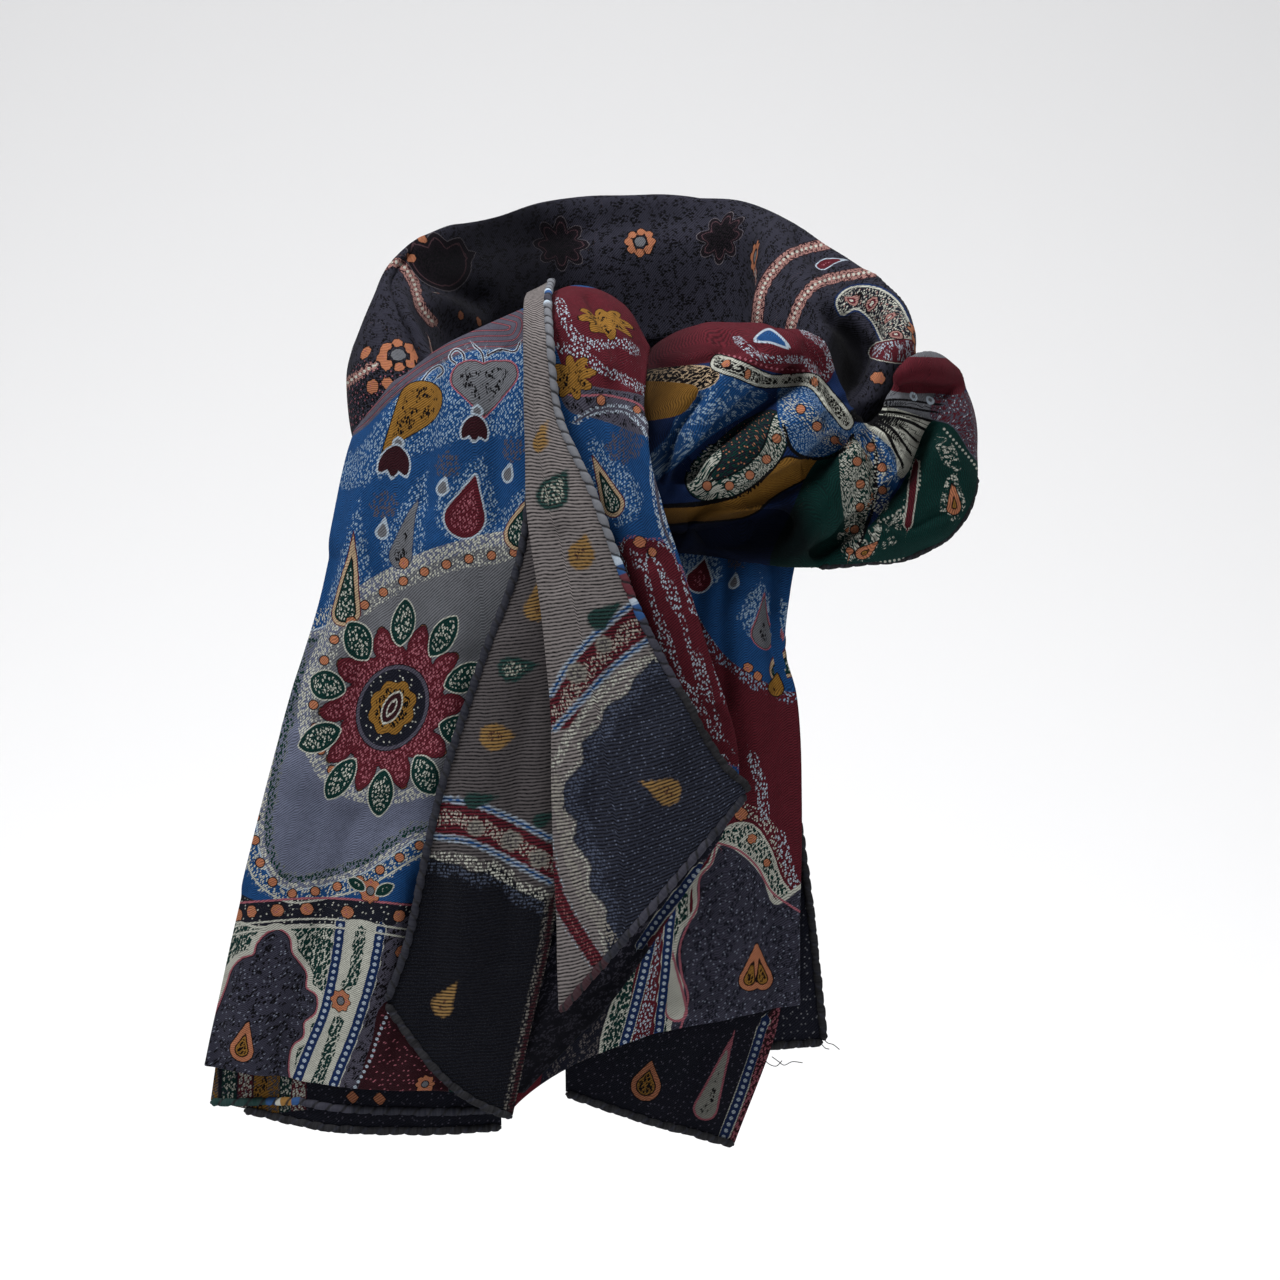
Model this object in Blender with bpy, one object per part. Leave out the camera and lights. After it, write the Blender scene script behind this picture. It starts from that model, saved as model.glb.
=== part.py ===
"""A large twill stole, wound once round a neck and brought through its own loop.

Every stretch is a wall of cloth. Lengths are in millimetres from the neck's axis, with x to the
right as seen from the front, y to the back and z up, and are moved to the nape at the end.
"""

import bmesh
import bpy
import numpy as np
from mathutils import Vector
from mathutils.bvhtree import BVHTree

METRES = 0.001

# Driving sizes: the wall of cloth, the least gap between two layers, and the point at the nape
# where the band lies on the neck.
WALL = 1.6
LAYER_GAP = 0.7
NAPE = (0.0, 63.3, 22.0)

# Rows and columns of points over each stretch. The fall has more rows, which go over the loop.
GRIDS = {
    "neck_loop": (58, 15),
    "front_wrap": (50, 32),
    "tail_back": (14, 7),
    "tail_corner": (16, 10),
    "tail": (20, 14),
    "fall_under_layer": (16, 12),
    "fall": (30, 22),
    "flap_under_half": (20, 9),
    "flap": (24, 10),
}
FALL_HEAD_ROWS = 10
FALL_LAID_FROM = 6

# The band round the neck, a row for each section across it. turn is in degrees from the nape, to
# the left as seen from the front. Each pair is a distance from the neck's axis and a height:
# the inner hem, the inner face, the fold at the top, the outer face and the outer hem.
LOOP = (
    # turn, in_r, in_z, lip_r, lip_z, rim_r, rim_z, out_r, out_z, hem_r, hem_z
    (-139.0, 138.0, -58.0, 140.0, -44.0, 150.0, -37.0, 153.0, -46.0, 149.0, -60.0),
    (-134.0, 122.0, -52.0, 128.0, -32.0, 149.0, -24.0, 152.0, -38.0, 147.0, -58.0),
    (-127.0, 98.0, -46.0, 106.0, -14.0, 145.0, -9.0, 150.0, -28.0, 143.0, -58.0),
    (-120.0, 78.0, -32.0, 87.0, 6.0, 145.0, 1.0, 151.0, -22.0, 143.0, -60.0),
    (-112.0, 68.0, -12.0, 72.0, 21.0, 138.0, 12.0, 149.0, -12.0, 142.0, -66.0),
    (-102.0, 65.0, -4.0, 67.0, 29.0, 120.0, 29.0, 135.0, 4.0, 134.0, -62.0),
    (-90.0, 64.0, -2.0, 65.0, 38.0, 105.0, 42.0, 121.0, 18.0, 126.0, -54.0),
    (-75.0, 64.0, 2.0, 67.0, 48.0, 95.0, 54.0, 109.0, 28.0, 119.0, -48.0),
    (-60.0, 64.0, 4.0, 71.0, 56.0, 91.0, 64.0, 104.0, 36.0, 115.0, -46.0),
    (-40.0, 64.0, 4.0, 72.0, 62.0, 92.0, 75.0, 104.0, 42.0, 113.0, -46.0),
    (-20.0, 63.5, 4.0, 68.0, 60.0, 84.0, 79.0, 98.0, 44.0, 108.0, -48.0),
    (0.0, 63.5, 2.0, 66.0, 56.0, 80.0, 80.0, 95.0, 44.0, 105.0, -50.0),
    (20.0, 66.0, 2.0, 70.0, 54.0, 84.0, 79.0, 98.0, 44.0, 108.0, -50.0),
    (40.0, 74.0, 0.0, 79.0, 48.0, 91.0, 74.0, 105.0, 42.0, 114.0, -50.0),
    (60.0, 86.0, -6.0, 90.0, 34.0, 106.0, 63.0, 119.0, 33.0, 124.0, -56.0),
    (75.0, 95.0, -14.0, 101.0, 26.0, 121.0, 54.0, 134.0, 25.0, 133.0, -66.0),
    (88.0, 101.0, -26.0, 108.0, 14.0, 129.0, 36.0, 142.0, 8.0, 140.0, -84.0),
    (100.0, 104.0, -40.0, 110.0, 2.0, 129.0, 24.0, 146.0, -12.0, 142.0, -98.0),
    (110.0, 106.0, -54.0, 112.0, -10.0, 126.0, 9.0, 148.0, -32.0, 142.0, -108.0),
    (120.0, 108.0, -66.0, 113.0, -26.0, 124.0, -10.5, 143.0, -46.0, 138.0, -114.0),
    (138.0, 108.0, -78.0, 112.0, -44.0, 118.0, -30.0, 129.0, -56.0, 126.0, -114.0),
)

# Hollows and folds in the band: the turn and the share of the way from the inner to the outer
# hem where each is deepest, its half widths in both, and its rise.
LOOP_FOLDS = (
    # turn, share, half_turn, half_share, rise
    (-124.0, 0.47, 9.0, 0.090, -14.0),
    (-100.0, 0.42, 18.0, 0.060, -3.0),
    (-72.0, 0.52, 18.0, 0.060, 3.0),
    (62.0, 0.30, 22.0, 0.070, -4.0),
    (98.0, 0.62, 14.0, 0.070, 3.5),
    (112.0, 0.80, 16.0, 0.070, -4.0),
    (-20.0, 0.80, 34.0, 0.060, -3.5),
    (22.0, 0.70, 30.0, 0.050, 3.5),
)

# The gathered front of the loop, a row for each section from its left end, under the fall, to
# its right end behind the shoulder. Its top lies back on the chest, and its foot turns under.
# The top dips where the band comes down into the gather.
WRAP = (
    # along, mid_x, mid_y, top_z, bottom_z, top_back, foot_back
    (0.0, -62.0, -135.7, -44.0, -108.0, 16.0, 12.0),
    (1.0, -22.0, -141.7, -26.0, -106.0, 34.0, 15.0),
    (2.4, 6.0, -145.7, -5.0, -106.0, 52.0, 17.0),
    (4.0, 30.0, -146.7, 3.0, -108.0, 68.0, 19.0),
    (6.0, 56.0, -143.7, 4.0, -112.0, 66.0, 20.0),
    (7.6, 76.0, -139.2, 2.0, -114.0, 46.0, 20.0),
    (8.6, 88.0, -133.7, -5.0, -114.0, 20.0, 20.0),
    (9.4, 97.0, -131.7, -24.0, -113.5, 9.0, 20.0),
    (10.2, 106.0, -128.7, -42.0, -113.0, 8.0, 20.0),
    (11.0, 116.0, -124.7, -42.0, -112.0, 8.0, 20.0),
    (12.0, 129.0, -118.2, -20.0, -111.0, 8.0, 20.0),
    (13.4, 146.0, -105.2, -9.0, -106.0, 13.0, 20.0),
    (14.6, 160.0, -87.2, -13.0, -98.0, 16.0, 19.0),
    (15.8, 168.0, -63.2, -28.0, -90.0, 17.0, 17.0),
    (17.0, 168.0, -37.7, -38.0, -85.0, 13.0, 13.0),
    (18.0, 156.0, -12.7, -42.0, -79.0, 9.0, 9.0),
    (19.0, 137.0, 13.3, -38.0, -69.0, 6.0, 6.0),
    (20.0, 118.0, 38.3, -34.0, -58.0, 4.0, 4.0),
)
# Its section is a C that is open to the back: the share of the set back and of the height at
# each point. The first four go by top_back and the rest by foot_back. The hem of the top hangs
# by the drop where the top is deep.
WRAP_SECTION = (
    # back, high
    (1.08, 0.97),
    (1.00, 0.97),
    (0.55, 0.98),
    (0.14, 0.86),
    (0.00, 0.52),
    (0.12, 0.16),
    (0.55, 0.00),
    (1.05, 0.06),
    (1.25, 0.22),
)
WRAP_TOP_POINTS = 4
WRAP_HEM_DROP = 0.21
WRAP_SHALLOW_TOP = 20.0

# Pleats and the hollows between them, all running into the gather, a row for each: three points
# that its line passes through, its half width and its rise. They show on what faces the front,
# and die out towards the shoulder.
PLEAT_EASE = 2
PLEAT_STEPS = 25
PLEAT_FACING = (0.15, 0.55)
PLEAT_END = (14.6, 16.6)
PLEATS = (
    # x1, z1, x2, z2, x3, z3, half_width, rise
    (41.0, -5.0, 29.0, -34.0, 11.0, -62.0, 5.5, -6.0),
    (80.0, -12.0, 44.0, -20.0, 22.0, -60.0, 9.0, 6.5),
    (74.0, -23.0, 51.0, -41.0, 20.0, -70.0, 5.5, -8.0),
    (88.0, -38.0, 66.0, -47.0, 36.0, -76.0, 8.0, 6.0),
    (90.0, -58.0, 70.0, -73.0, 19.0, -88.0, 6.5, -7.0),
    (36.0, -98.0, 50.0, -98.0, 62.0, -100.0, 10.0, -6.0),
    (97.0, -56.0, 86.0, -80.0, 70.0, -102.0, 8.0, 6.0),
    (106.0, -56.0, 101.0, -80.0, 90.0, -104.0, 6.0, -4.5),
    (117.0, -52.0, 117.0, -77.0, 104.0, -99.0, 8.0, 5.5),
    (138.0, -42.0, 127.0, -72.0, 90.0, -106.0, 5.5, -7.5),
    (157.0, -43.0, 156.0, -80.0, 122.0, -103.0, 9.0, 5.0),
    (132.0, -31.0, 144.0, -29.0, 156.0, -24.0, 5.0, -4.5),
)

# The end that falls over the front: the line of its fold over the loop, from left to right, and
# the hem of the short leg inside the loop.
FALL_TOP = (
    # across, x, y, z, back_x, back_y, back_z
    (0.00, -139.0, -96.0, -49.0, -134.0, -89.0, -56.0),
    (0.13, -127.0, -92.0, -33.0, -122.0, -84.0, -36.0),
    (0.27, -108.0, -87.0, -16.0, -104.0, -76.0, -13.5),
    (0.42, -82.0, -84.0, -1.0, -72.0, -55.0, -38.0),
    (0.57, -56.0, -86.0, 10.0, -48.0, -61.0, -58.0),
    (0.72, -32.0, -88.0, 20.0, -27.0, -67.0, -60.0),
    (0.86, -11.0, -92.0, 14.0, -12.0, -71.0, -16.0),
    (0.94, -3.0, -105.0, 6.0, -6.0, -84.0, 4.0),
    (1.00, 4.0, -122.0, -8.0, 0.0, -104.0, -1.0),
)
# Cloth over the loop: how far the fold stands above its line, how the short leg bulges where it
# is longer than a short one, where the cloth turns down, and the share of the way down by which
# it has left the line.
FOLD_LIFT = 1.0
LEG_BULGE = 0.12
LEG_SHORT = 20.0
TURN_SHARE = 0.45
TURN_DROP = 0.5
LINE_LEFT_AT = 0.34
# Its two side edges, a row for each section down it, and how far the cloth stands forward of
# the straight line between them.
FALL = (
    # down, left_x, left_y, left_z, right_x, right_y, right_z, belly
    (0.00, -139.0, -104.0, -49.0, 12.0, -128.0, -6.0, 6.0),
    (0.08, -143.5, -110.0, -67.5, 8.0, -152.0, -40.0, 6.0),
    (0.18, -148.0, -119.0, -93.0, 12.0, -161.0, -80.0, 6.0),
    (0.28, -154.0, -126.0, -125.0, 19.0, -161.0, -112.0, 6.0),
    (0.38, -162.0, -130.0, -156.0, 31.0, -158.0, -152.0, 6.0),
    (0.50, -171.0, -132.0, -190.0, 45.0, -153.0, -198.0, 7.0),
    (0.62, -180.0, -134.0, -224.0, 42.0, -150.0, -232.0, 8.0),
    (0.75, -190.0, -134.0, -264.0, 18.0, -148.0, -272.0, 9.0),
    (0.88, -202.0, -132.0, -316.0, -16.0, -145.0, -322.0, 9.0),
    (1.00, -210.0, -130.0, -355.0, -56.0, -142.0, -366.0, 7.0),
)
FALL_SAG = 3.0
# Soft folds down the fall: where each runs across it at the top and at the foot.
FOLD_FROM = 0.1
FOLD_FADE = 0.15
FALL_FOLDS = (
    # top_across, foot_across, half_width, rise
    (0.30, 0.16, 0.060, 2.6),
    (0.52, 0.42, 0.070, -2.4),
    (0.80, 0.72, 0.060, -5.0),
    (0.93, 0.90, 0.050, 4.0),
)

# The layer folded under the fall.
UNDER_SAG = 6.0
UNDER = (
    # down, left_x, left_y, left_z, right_x, right_y, right_z, belly
    (0.00, -140.0, -100.7, -84.0, -88.0, -112.7, -84.0, 3.0),
    (0.15, -148.0, -110.7, -122.0, -76.0, -122.7, -124.0, 4.0),
    (0.35, -161.0, -121.7, -174.0, -70.0, -132.7, -190.0, 5.0),
    (0.60, -182.0, -125.7, -250.0, -70.0, -136.7, -264.0, 6.0),
    (0.85, -203.0, -124.7, -335.0, -68.0, -135.7, -350.0, 7.0),
    (1.00, -209.0, -122.7, -374.0, -67.0, -133.7, -384.0, 7.0),
)

# The end's other half, turned wrong side out over the fall. Left is its folded edge.
FLAP = (
    # down, left_x, left_y, left_z, right_x, right_y, right_z, belly
    (0.00, -54.0, -98.1, 19.0, -44.0, -92.1, 25.0, 0.5),
    (0.05, -55.0, -122.1, 12.0, -45.0, -121.1, 15.5, 1.0),
    (0.10, -55.0, -140.1, -4.0, -44.0, -144.1, -3.0, 2.0),
    (0.18, -54.0, -153.1, -44.0, -40.0, -157.1, -38.0, 4.0),
    (0.30, -53.0, -163.1, -84.0, -23.0, -170.1, -78.0, 5.0),
    (0.43, -47.0, -167.1, -126.0, -4.0, -174.1, -128.0, 6.0),
    (0.56, -42.0, -167.1, -174.0, 16.0, -172.1, -168.0, 7.0),
    (0.72, -41.0, -165.1, -226.0, 38.0, -168.1, -205.0, 8.0),
    (0.86, -39.0, -161.1, -276.0, 49.0, -165.1, -216.0, 8.0),
    (1.00, -38.0, -157.1, -324.0, 50.0, -164.1, -220.0, 8.0),
)
# The half of it that lies beneath, to the left.
FLAP_UNDER_SAG = 10.0
FLAP_UNDER = (
    # down, left_x, left_y, left_z, right_x, right_y, right_z, belly
    (0.00, -50.0, -152.8, -66.0, -40.0, -156.8, -66.0, 1.0),
    (0.12, -56.0, -157.8, -108.0, -38.0, -160.8, -112.0, 2.0),
    (0.28, -75.0, -157.8, -161.0, -35.0, -160.8, -160.0, 3.0),
    (0.44, -90.0, -155.8, -206.0, -34.0, -158.8, -205.0, 4.0),
    (0.60, -101.0, -152.8, -250.0, -36.0, -155.8, -250.0, 5.0),
    (0.76, -110.0, -149.8, -292.0, -42.0, -152.8, -290.0, 5.0),
    (0.89, -118.0, -147.8, -315.0, -52.0, -150.8, -334.0, 5.0),
    (1.00, -121.0, -146.8, -322.0, -61.0, -149.8, -376.0, 5.0),
)

# The other end, which hangs straight down behind the fall. Its foot is drawn up, most of all
# at a third of the way across.
TAIL_SAG = -15.0
TAIL_SAG_AT = 0.35
TAIL = (
    # down, left_x, left_y, left_z, right_x, right_y, right_z, belly
    (0.00, -4.0, -100.5, -74.0, 76.0, -96.5, -72.0, 2.0),
    (0.10, -8.0, -106.5, -100.0, 77.0, -102.5, -98.0, 3.0),
    (0.20, -12.0, -119.5, -132.0, 72.0, -114.5, -126.0, 5.0),
    (0.32, -16.0, -131.5, -168.0, 69.0, -124.5, -154.0, 6.0),
    (0.44, -22.0, -136.5, -204.0, 75.0, -129.5, -178.0, 7.0),
    (0.60, -31.0, -138.5, -252.0, 77.0, -133.5, -226.0, 8.0),
    (0.80, -44.0, -138.5, -314.0, 76.0, -134.5, -286.0, 8.0),
    (1.00, -64.0, -136.5, -380.0, 76.0, -134.5, -325.0, 7.0),
)
# The corner of it that is folded back and hangs lower.
TAIL_CORNER = (
    # down, left_x, left_y, left_z, right_x, right_y, right_z, belly
    (0.00, -22.0, -115.2, -130.0, 58.0, -111.2, -130.0, 3.0),
    (0.25, -28.0, -128.2, -200.0, 64.0, -122.2, -190.0, 4.0),
    (0.55, -34.0, -132.2, -290.0, 68.0, -126.2, -262.0, 4.0),
    (0.80, -36.0, -131.2, -346.0, 67.0, -126.2, -334.0, 5.0),
    (1.00, -36.0, -131.2, -368.0, 46.0, -127.2, -394.0, 5.0),
)
# The layer behind, whose edge shows to the right.
TAIL_BACK = (
    # down, left_x, left_y, left_z, right_x, right_y, right_z, belly
    (0.00, 4.0, -97.4, -78.0, 72.0, -93.4, -76.0, 2.0),
    (0.25, 8.0, -111.4, -140.0, 68.0, -107.4, -140.0, 2.0),
    (0.55, 14.0, -123.4, -230.0, 75.0, -119.4, -228.0, 2.0),
    (0.80, 24.0, -124.4, -304.0, 84.0, -120.4, -300.0, 2.0),
    (1.00, 30.0, -124.4, -348.0, 89.0, -120.4, -345.0, 2.0),
)

COLOURS = {
    "charcoal": (0.052, 0.052, 0.066),
    "maroon": (0.090, 0.022, 0.032),
    "blue": (0.030, 0.085, 0.250),
    "taupe": (0.230, 0.195, 0.180),
    "navy": (0.030, 0.034, 0.052),
}
ROUGHNESS = 0.85

# Laying one layer over another: where the search starts, how far the cloth beneath may turn from
# the front before the gap is no longer widened for it, and how often a push is eased.
FAR_FRONT = 400.0
LEAST_FACING = 0.7
PUSH_EASE = 6

# Steps of a smooth curve for each point that it gives.
CURVE_STEPS = 12


def track(table, at):
    """The columns of a table at each value of its first column, joined smoothly."""
    rows = np.array(table, float)
    keys, values = rows[:, 0], rows[:, 1:]
    slopes = np.gradient(values, keys, axis=0)
    at = np.asarray(at, float)
    i = np.clip(np.searchsorted(keys, at, side="right") - 1, 0, len(keys) - 2)
    span = (keys[i + 1] - keys[i])[..., None]
    t = (at - keys[i])[..., None] / span
    rise = (3 - 2 * t) * t * t
    return (
        values[i] * (1 - rise)
        + values[i + 1] * rise
        + slopes[i] * span * t * (1 - t) ** 2
        - slopes[i + 1] * span * t * t * (1 - t)
    )


def ease(x, start=0.0, stop=1.0):
    """A smooth step from 0 at the start to 1 at the stop."""
    x = np.clip((x - start) / (stop - start), 0.0, 1.0)
    return x * x * (3 - 2 * x)


def even_path(points, count):
    """Each row of guide points joined by a smooth curve, and cut into even steps."""
    steps = np.linalg.norm(np.diff(points, axis=1), axis=2).mean(axis=0)
    keys = np.concatenate([[0.0], np.cumsum(steps)]) / steps.sum()
    fine = np.linspace(0, 1, CURVE_STEPS * count)
    out = []
    for row in points:
        dense = track(np.column_stack([keys, row]), fine)
        length = np.concatenate([[0], np.cumsum(np.linalg.norm(np.diff(dense, axis=0), axis=1))])
        even = np.linspace(0, length[-1], count)
        out.append(np.column_stack([np.interp(even, length, dense[:, k]) for k in range(3)]))
    return np.array(out)


def normals(points):
    """The way out of the cloth's right side at each point."""
    along, across = np.gradient(points, axis=(0, 1))
    out = np.cross(across, along)
    return out / np.linalg.norm(out, axis=2, keepdims=True)


def blurred(field, times):
    """A field of numbers, each eased towards its neighbours' mean."""
    for _ in range(times):
        wide = np.pad(field, 1, mode="edge")
        mean = (wide[:-2, 1:-1] + wide[2:, 1:-1] + wide[1:-1, :-2] + wide[1:-1, 2:]) / 4
        field = 0.5 * field + 0.5 * mean
    return field


def loop_surface(rows, columns):
    """The band round the neck."""
    turn = np.linspace(LOOP[0][0], LOOP[-1][0], rows)
    section = track(LOOP, turn)
    way = np.radians(turn)
    points = np.empty((rows, 5, 3))
    for k in range(5):
        radius, height = section[:, 2 * k], section[:, 2 * k + 1]
        points[:, k] = np.column_stack([-np.sin(way) * radius, np.cos(way) * radius, height])
    points = even_path(points, columns)
    down = np.linspace(0, 1, columns)[None, :]
    rise = np.zeros(points.shape[:2])
    for at_turn, at_share, half_turn, half_share, height in LOOP_FOLDS:
        off = ((turn[:, None] - at_turn) / half_turn) ** 2 + ((down - at_share) / half_share) ** 2
        rise += height * np.exp(-off)
    return points + normals(points) * rise[..., None]


def wrap_surface(rows, columns):
    """The gathered front of the loop, with its pleats."""
    at = np.linspace(0, WRAP[-1][0], rows)
    x, y, top, bottom, top_back, foot_back = track(WRAP, at).T
    slope = np.gradient(np.column_stack([x, y]), axis=0)
    inward = np.column_stack([-slope[:, 1], slope[:, 0]])
    inward /= np.linalg.norm(inward, axis=1, keepdims=True)
    hang = WRAP_HEM_DROP * np.clip(top_back / WRAP_SHALLOW_TOP - 1, 0, 1)
    points = np.empty((rows, len(WRAP_SECTION), 3))
    for k, (back, high) in enumerate(WRAP_SECTION):
        set_back = back * (top_back if k < WRAP_TOP_POINTS else foot_back)
        if k == 0:
            high = high - hang
        points[:, k, 0] = x + inward[:, 0] * set_back
        points[:, k, 1] = y + inward[:, 1] * set_back
        points[:, k, 2] = bottom + (top - bottom) * high
    points = even_path(points, columns)
    rise = np.zeros(points.shape[:2])
    step = np.linspace(0, 1, PLEAT_STEPS)[:, None]
    for x1, z1, x2, z2, x3, z3, half_width, height in PLEATS:
        bow = np.array([2 * x2 - (x1 + x3) / 2, 2 * z2 - (z1 + z3) / 2])
        line = np.array([x1, z1]) * (1 - step) ** 2 + 2 * bow * step * (1 - step)
        line = line + np.array([x3, z3]) * step**2
        away = np.hypot(points[:, :, 0, None] - line[:, 0], points[:, :, 2, None] - line[:, 1])
        rise += height * np.exp(-((away.min(axis=2) / half_width) ** 2))
    rise = blurred(rise, PLEAT_EASE)
    facing = np.clip(-normals(points)[:, :, 1], 0, 1)
    front = ease(facing, *PLEAT_FACING) * (1 - ease(at, *PLEAT_END))[:, None]
    return points + normals(points) * (rise * front)[..., None]


def panel_surface(table, rows, columns, sag=0.0, sag_at=0.5):
    """A hanging panel between its two side edges. sag lowers the middle of its foot."""
    down = np.linspace(0, 1, rows)
    across = np.linspace(0, 1, columns)[None, :]
    edges = track(table, down)
    left, right, belly = edges[:, None, :3], edges[:, None, 3:6], edges[:, 6][:, None]
    points = left * (1 - across[..., None]) + right * across[..., None]
    points[:, :, 1] -= belly * np.sin(np.pi * across)
    skew = np.log(0.5) / np.log(sag_at)
    points[:, :, 2] -= sag * np.sin(np.pi * across**skew) * (down**3)[:, None]
    return points


def fold(points, top_across, foot_across, half_width, rise):
    """Brings a soft fold down a panel forward by its rise."""
    rows, columns = points.shape[:2]
    down = np.linspace(0, 1, rows)[:, None]
    across = np.linspace(0, 1, columns)[None, :]
    at = top_across + (foot_across - top_across) * down
    run = ease(down, FOLD_FROM, FOLD_FROM + FOLD_FADE)
    points[:, :, 1] -= rise * np.exp(-(((across - at) / half_width) ** 2)) * run


def fall_surface(rows, columns):
    """The end brought up through the loop: a short leg inside it, the fold, and the long front."""
    across = np.linspace(0, 1, columns)
    top = track(FALL_TOP, across)
    crest, back = top[:, :3], top[:, 3:]
    front = panel_surface(FALL, rows, columns, FALL_SAG)
    for row in FALL_FOLDS:
        fold(front, *row)
    shift = crest - front[0]
    shift[:, 1] = 0
    down = np.linspace(0, 1, rows)
    front += shift[None] * (1 - ease(down, 0.0, LINE_LEFT_AT))[:, None, None]
    over = crest + np.array([0.0, 0.0, FOLD_LIFT])
    reach = np.linalg.norm(back - crest, axis=1)
    inner = (crest + back) / 2
    inner[:, 1] += LEG_BULGE * np.maximum(reach - LEG_SHORT, 0)
    bend = front[0] * TURN_SHARE + crest * (1 - TURN_SHARE) - np.array([0.0, 0.0, TURN_DROP])
    guides = np.stack([back, inner, over, bend, front[1]], axis=1)
    head = even_path(guides, FALL_HEAD_ROWS)[:, :-1]
    return np.concatenate([head.transpose(1, 0, 2), front[1:]])


def tree_of(surfaces):
    """One search tree of some surfaces, for what is laid over them."""
    corners, faces = [], []
    for points in surfaces:
        rows, columns = points.shape[:2]
        start = len(corners)
        corners += [Vector(p) for p in points.reshape(-1, 3)]
        for i in range(rows - 1):
            for j in range(columns - 1):
                a = start + i * columns + j
                faces.append((a, a + columns, a + columns + 1, a + 1))
    return BVHTree.FromPolygons(corners, faces)


def lay_over(points, surfaces, first_row=0):
    """Moves a panel forward where it would come nearer than the gap to what lies behind it."""
    gap = WALL + LAYER_GAP
    tree = tree_of(surfaces)
    push = np.zeros(points.shape[:2])
    for i in range(first_row, points.shape[0]):
        for j in range(points.shape[1]):
            x, y, z = points[i, j]
            hit, facing = tree.ray_cast(Vector((x, -FAR_FRONT, z)), Vector((0.0, 1.0, 0.0)))[:2]
            if hit is not None:
                depth = gap / max(abs(facing.y), LEAST_FACING)
                push[i, j] = max(0.0, y + depth - hit.y)
    least = push.copy()
    for _ in range(PUSH_EASE):
        push = np.maximum(least, blurred(push, 1))
    points[first_row:, :, 1] -= push[first_row:]
    return points


def make_material(name, colour):
    material = bpy.data.materials.new(name)
    material.use_nodes = True
    shader = material.node_tree.nodes["Principled BSDF"]
    shader.inputs["Base Color"].default_value = (*colour, 1.0)
    shader.inputs["Roughness"].default_value = ROUGHNESS
    shader.inputs["Metallic"].default_value = 0.0
    material.diffuse_color = (*colour, 1.0)
    return material


def make_wall(name, points, colour):
    """One closed wall of cloth about a surface, which is a grid of points."""
    rows, columns = points.shape[:2]
    body = bmesh.new()
    bmesh.ops.create_grid(body, x_segments=rows - 1, y_segments=columns - 1, size=1.0)
    for vertex in body.verts:
        i = round((vertex.co.x + 1) / 2 * (rows - 1))
        j = round((vertex.co.y + 1) / 2 * (columns - 1))
        vertex.co = Vector((points[i, j] - np.array(NAPE)) * METRES)
    mesh = bpy.data.meshes.new(name)
    body.to_mesh(mesh)
    body.free()
    mesh.materials.append(make_material(name, COLOURS[colour]))
    piece = bpy.data.objects.new(name, mesh)
    bpy.context.scene.collection.objects.link(piece)
    wall = piece.modifiers.new("wall", "SOLIDIFY")
    wall.thickness = WALL * METRES
    wall.offset = 0.0
    return piece


def main():
    for old in list(bpy.data.objects):
        bpy.data.objects.remove(old)
    loop = loop_surface(*GRIDS["neck_loop"])
    wrap = wrap_surface(*GRIDS["front_wrap"])
    tail_back = panel_surface(TAIL_BACK, *GRIDS["tail_back"])
    corner = lay_over(panel_surface(TAIL_CORNER, *GRIDS["tail_corner"]), [tail_back])
    tail = panel_surface(TAIL, *GRIDS["tail"], TAIL_SAG, TAIL_SAG_AT)
    tail = lay_over(tail, [tail_back, corner])
    under = panel_surface(UNDER, *GRIDS["fall_under_layer"], UNDER_SAG)
    fall = lay_over(fall_surface(*GRIDS["fall"]), [under, wrap, tail], FALL_LAID_FROM)
    flap_under = panel_surface(FLAP_UNDER, *GRIDS["flap_under_half"], FLAP_UNDER_SAG)
    flap_under = lay_over(flap_under, [fall])
    flap = lay_over(panel_surface(FLAP, *GRIDS["flap"]), [fall, flap_under])
    make_wall("neck_loop", loop, "charcoal")
    make_wall("front_wrap", wrap, "blue")
    make_wall("tail_back", tail_back, "maroon")
    make_wall("tail_corner", corner, "navy")
    make_wall("tail", tail, "maroon")
    make_wall("fall_under_layer", under, "navy")
    make_wall("fall", fall, "blue")
    make_wall("flap_under_half", flap_under, "taupe")
    make_wall("flap", flap, "taupe")


main()
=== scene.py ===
import math

import bmesh
import bpy
import numpy as np
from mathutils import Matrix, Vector
from mathutils.bvhtree import BVHTree


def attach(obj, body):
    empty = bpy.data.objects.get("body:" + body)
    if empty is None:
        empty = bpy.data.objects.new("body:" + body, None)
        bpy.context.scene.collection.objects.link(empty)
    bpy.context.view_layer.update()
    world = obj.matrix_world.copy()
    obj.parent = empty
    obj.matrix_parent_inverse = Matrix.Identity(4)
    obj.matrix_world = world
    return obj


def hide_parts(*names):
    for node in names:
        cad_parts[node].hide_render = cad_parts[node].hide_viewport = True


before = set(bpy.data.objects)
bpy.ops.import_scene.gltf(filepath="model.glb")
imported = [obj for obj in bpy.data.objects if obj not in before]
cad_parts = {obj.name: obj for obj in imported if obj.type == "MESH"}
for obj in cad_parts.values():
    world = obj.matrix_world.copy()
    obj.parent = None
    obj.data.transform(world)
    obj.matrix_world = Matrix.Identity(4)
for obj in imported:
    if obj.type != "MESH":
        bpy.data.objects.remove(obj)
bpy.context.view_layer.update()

# The looks of a large printed twill stole, wound once round a neck. Lengths are in millimetres
# from the neck's axis, x to the right as seen from the front, y to the back and z up, and are
# moved to the nape, in metres, when a piece is made.
METRES = 0.001

# The solids' wall and least gap between two layers, the cloth as it really is, and the nape
WALL = 1.6
LAYER_GAP = 0.7
CLOTH = 0.8
NAPE = (0.0, 63.3, 22.0)

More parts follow.
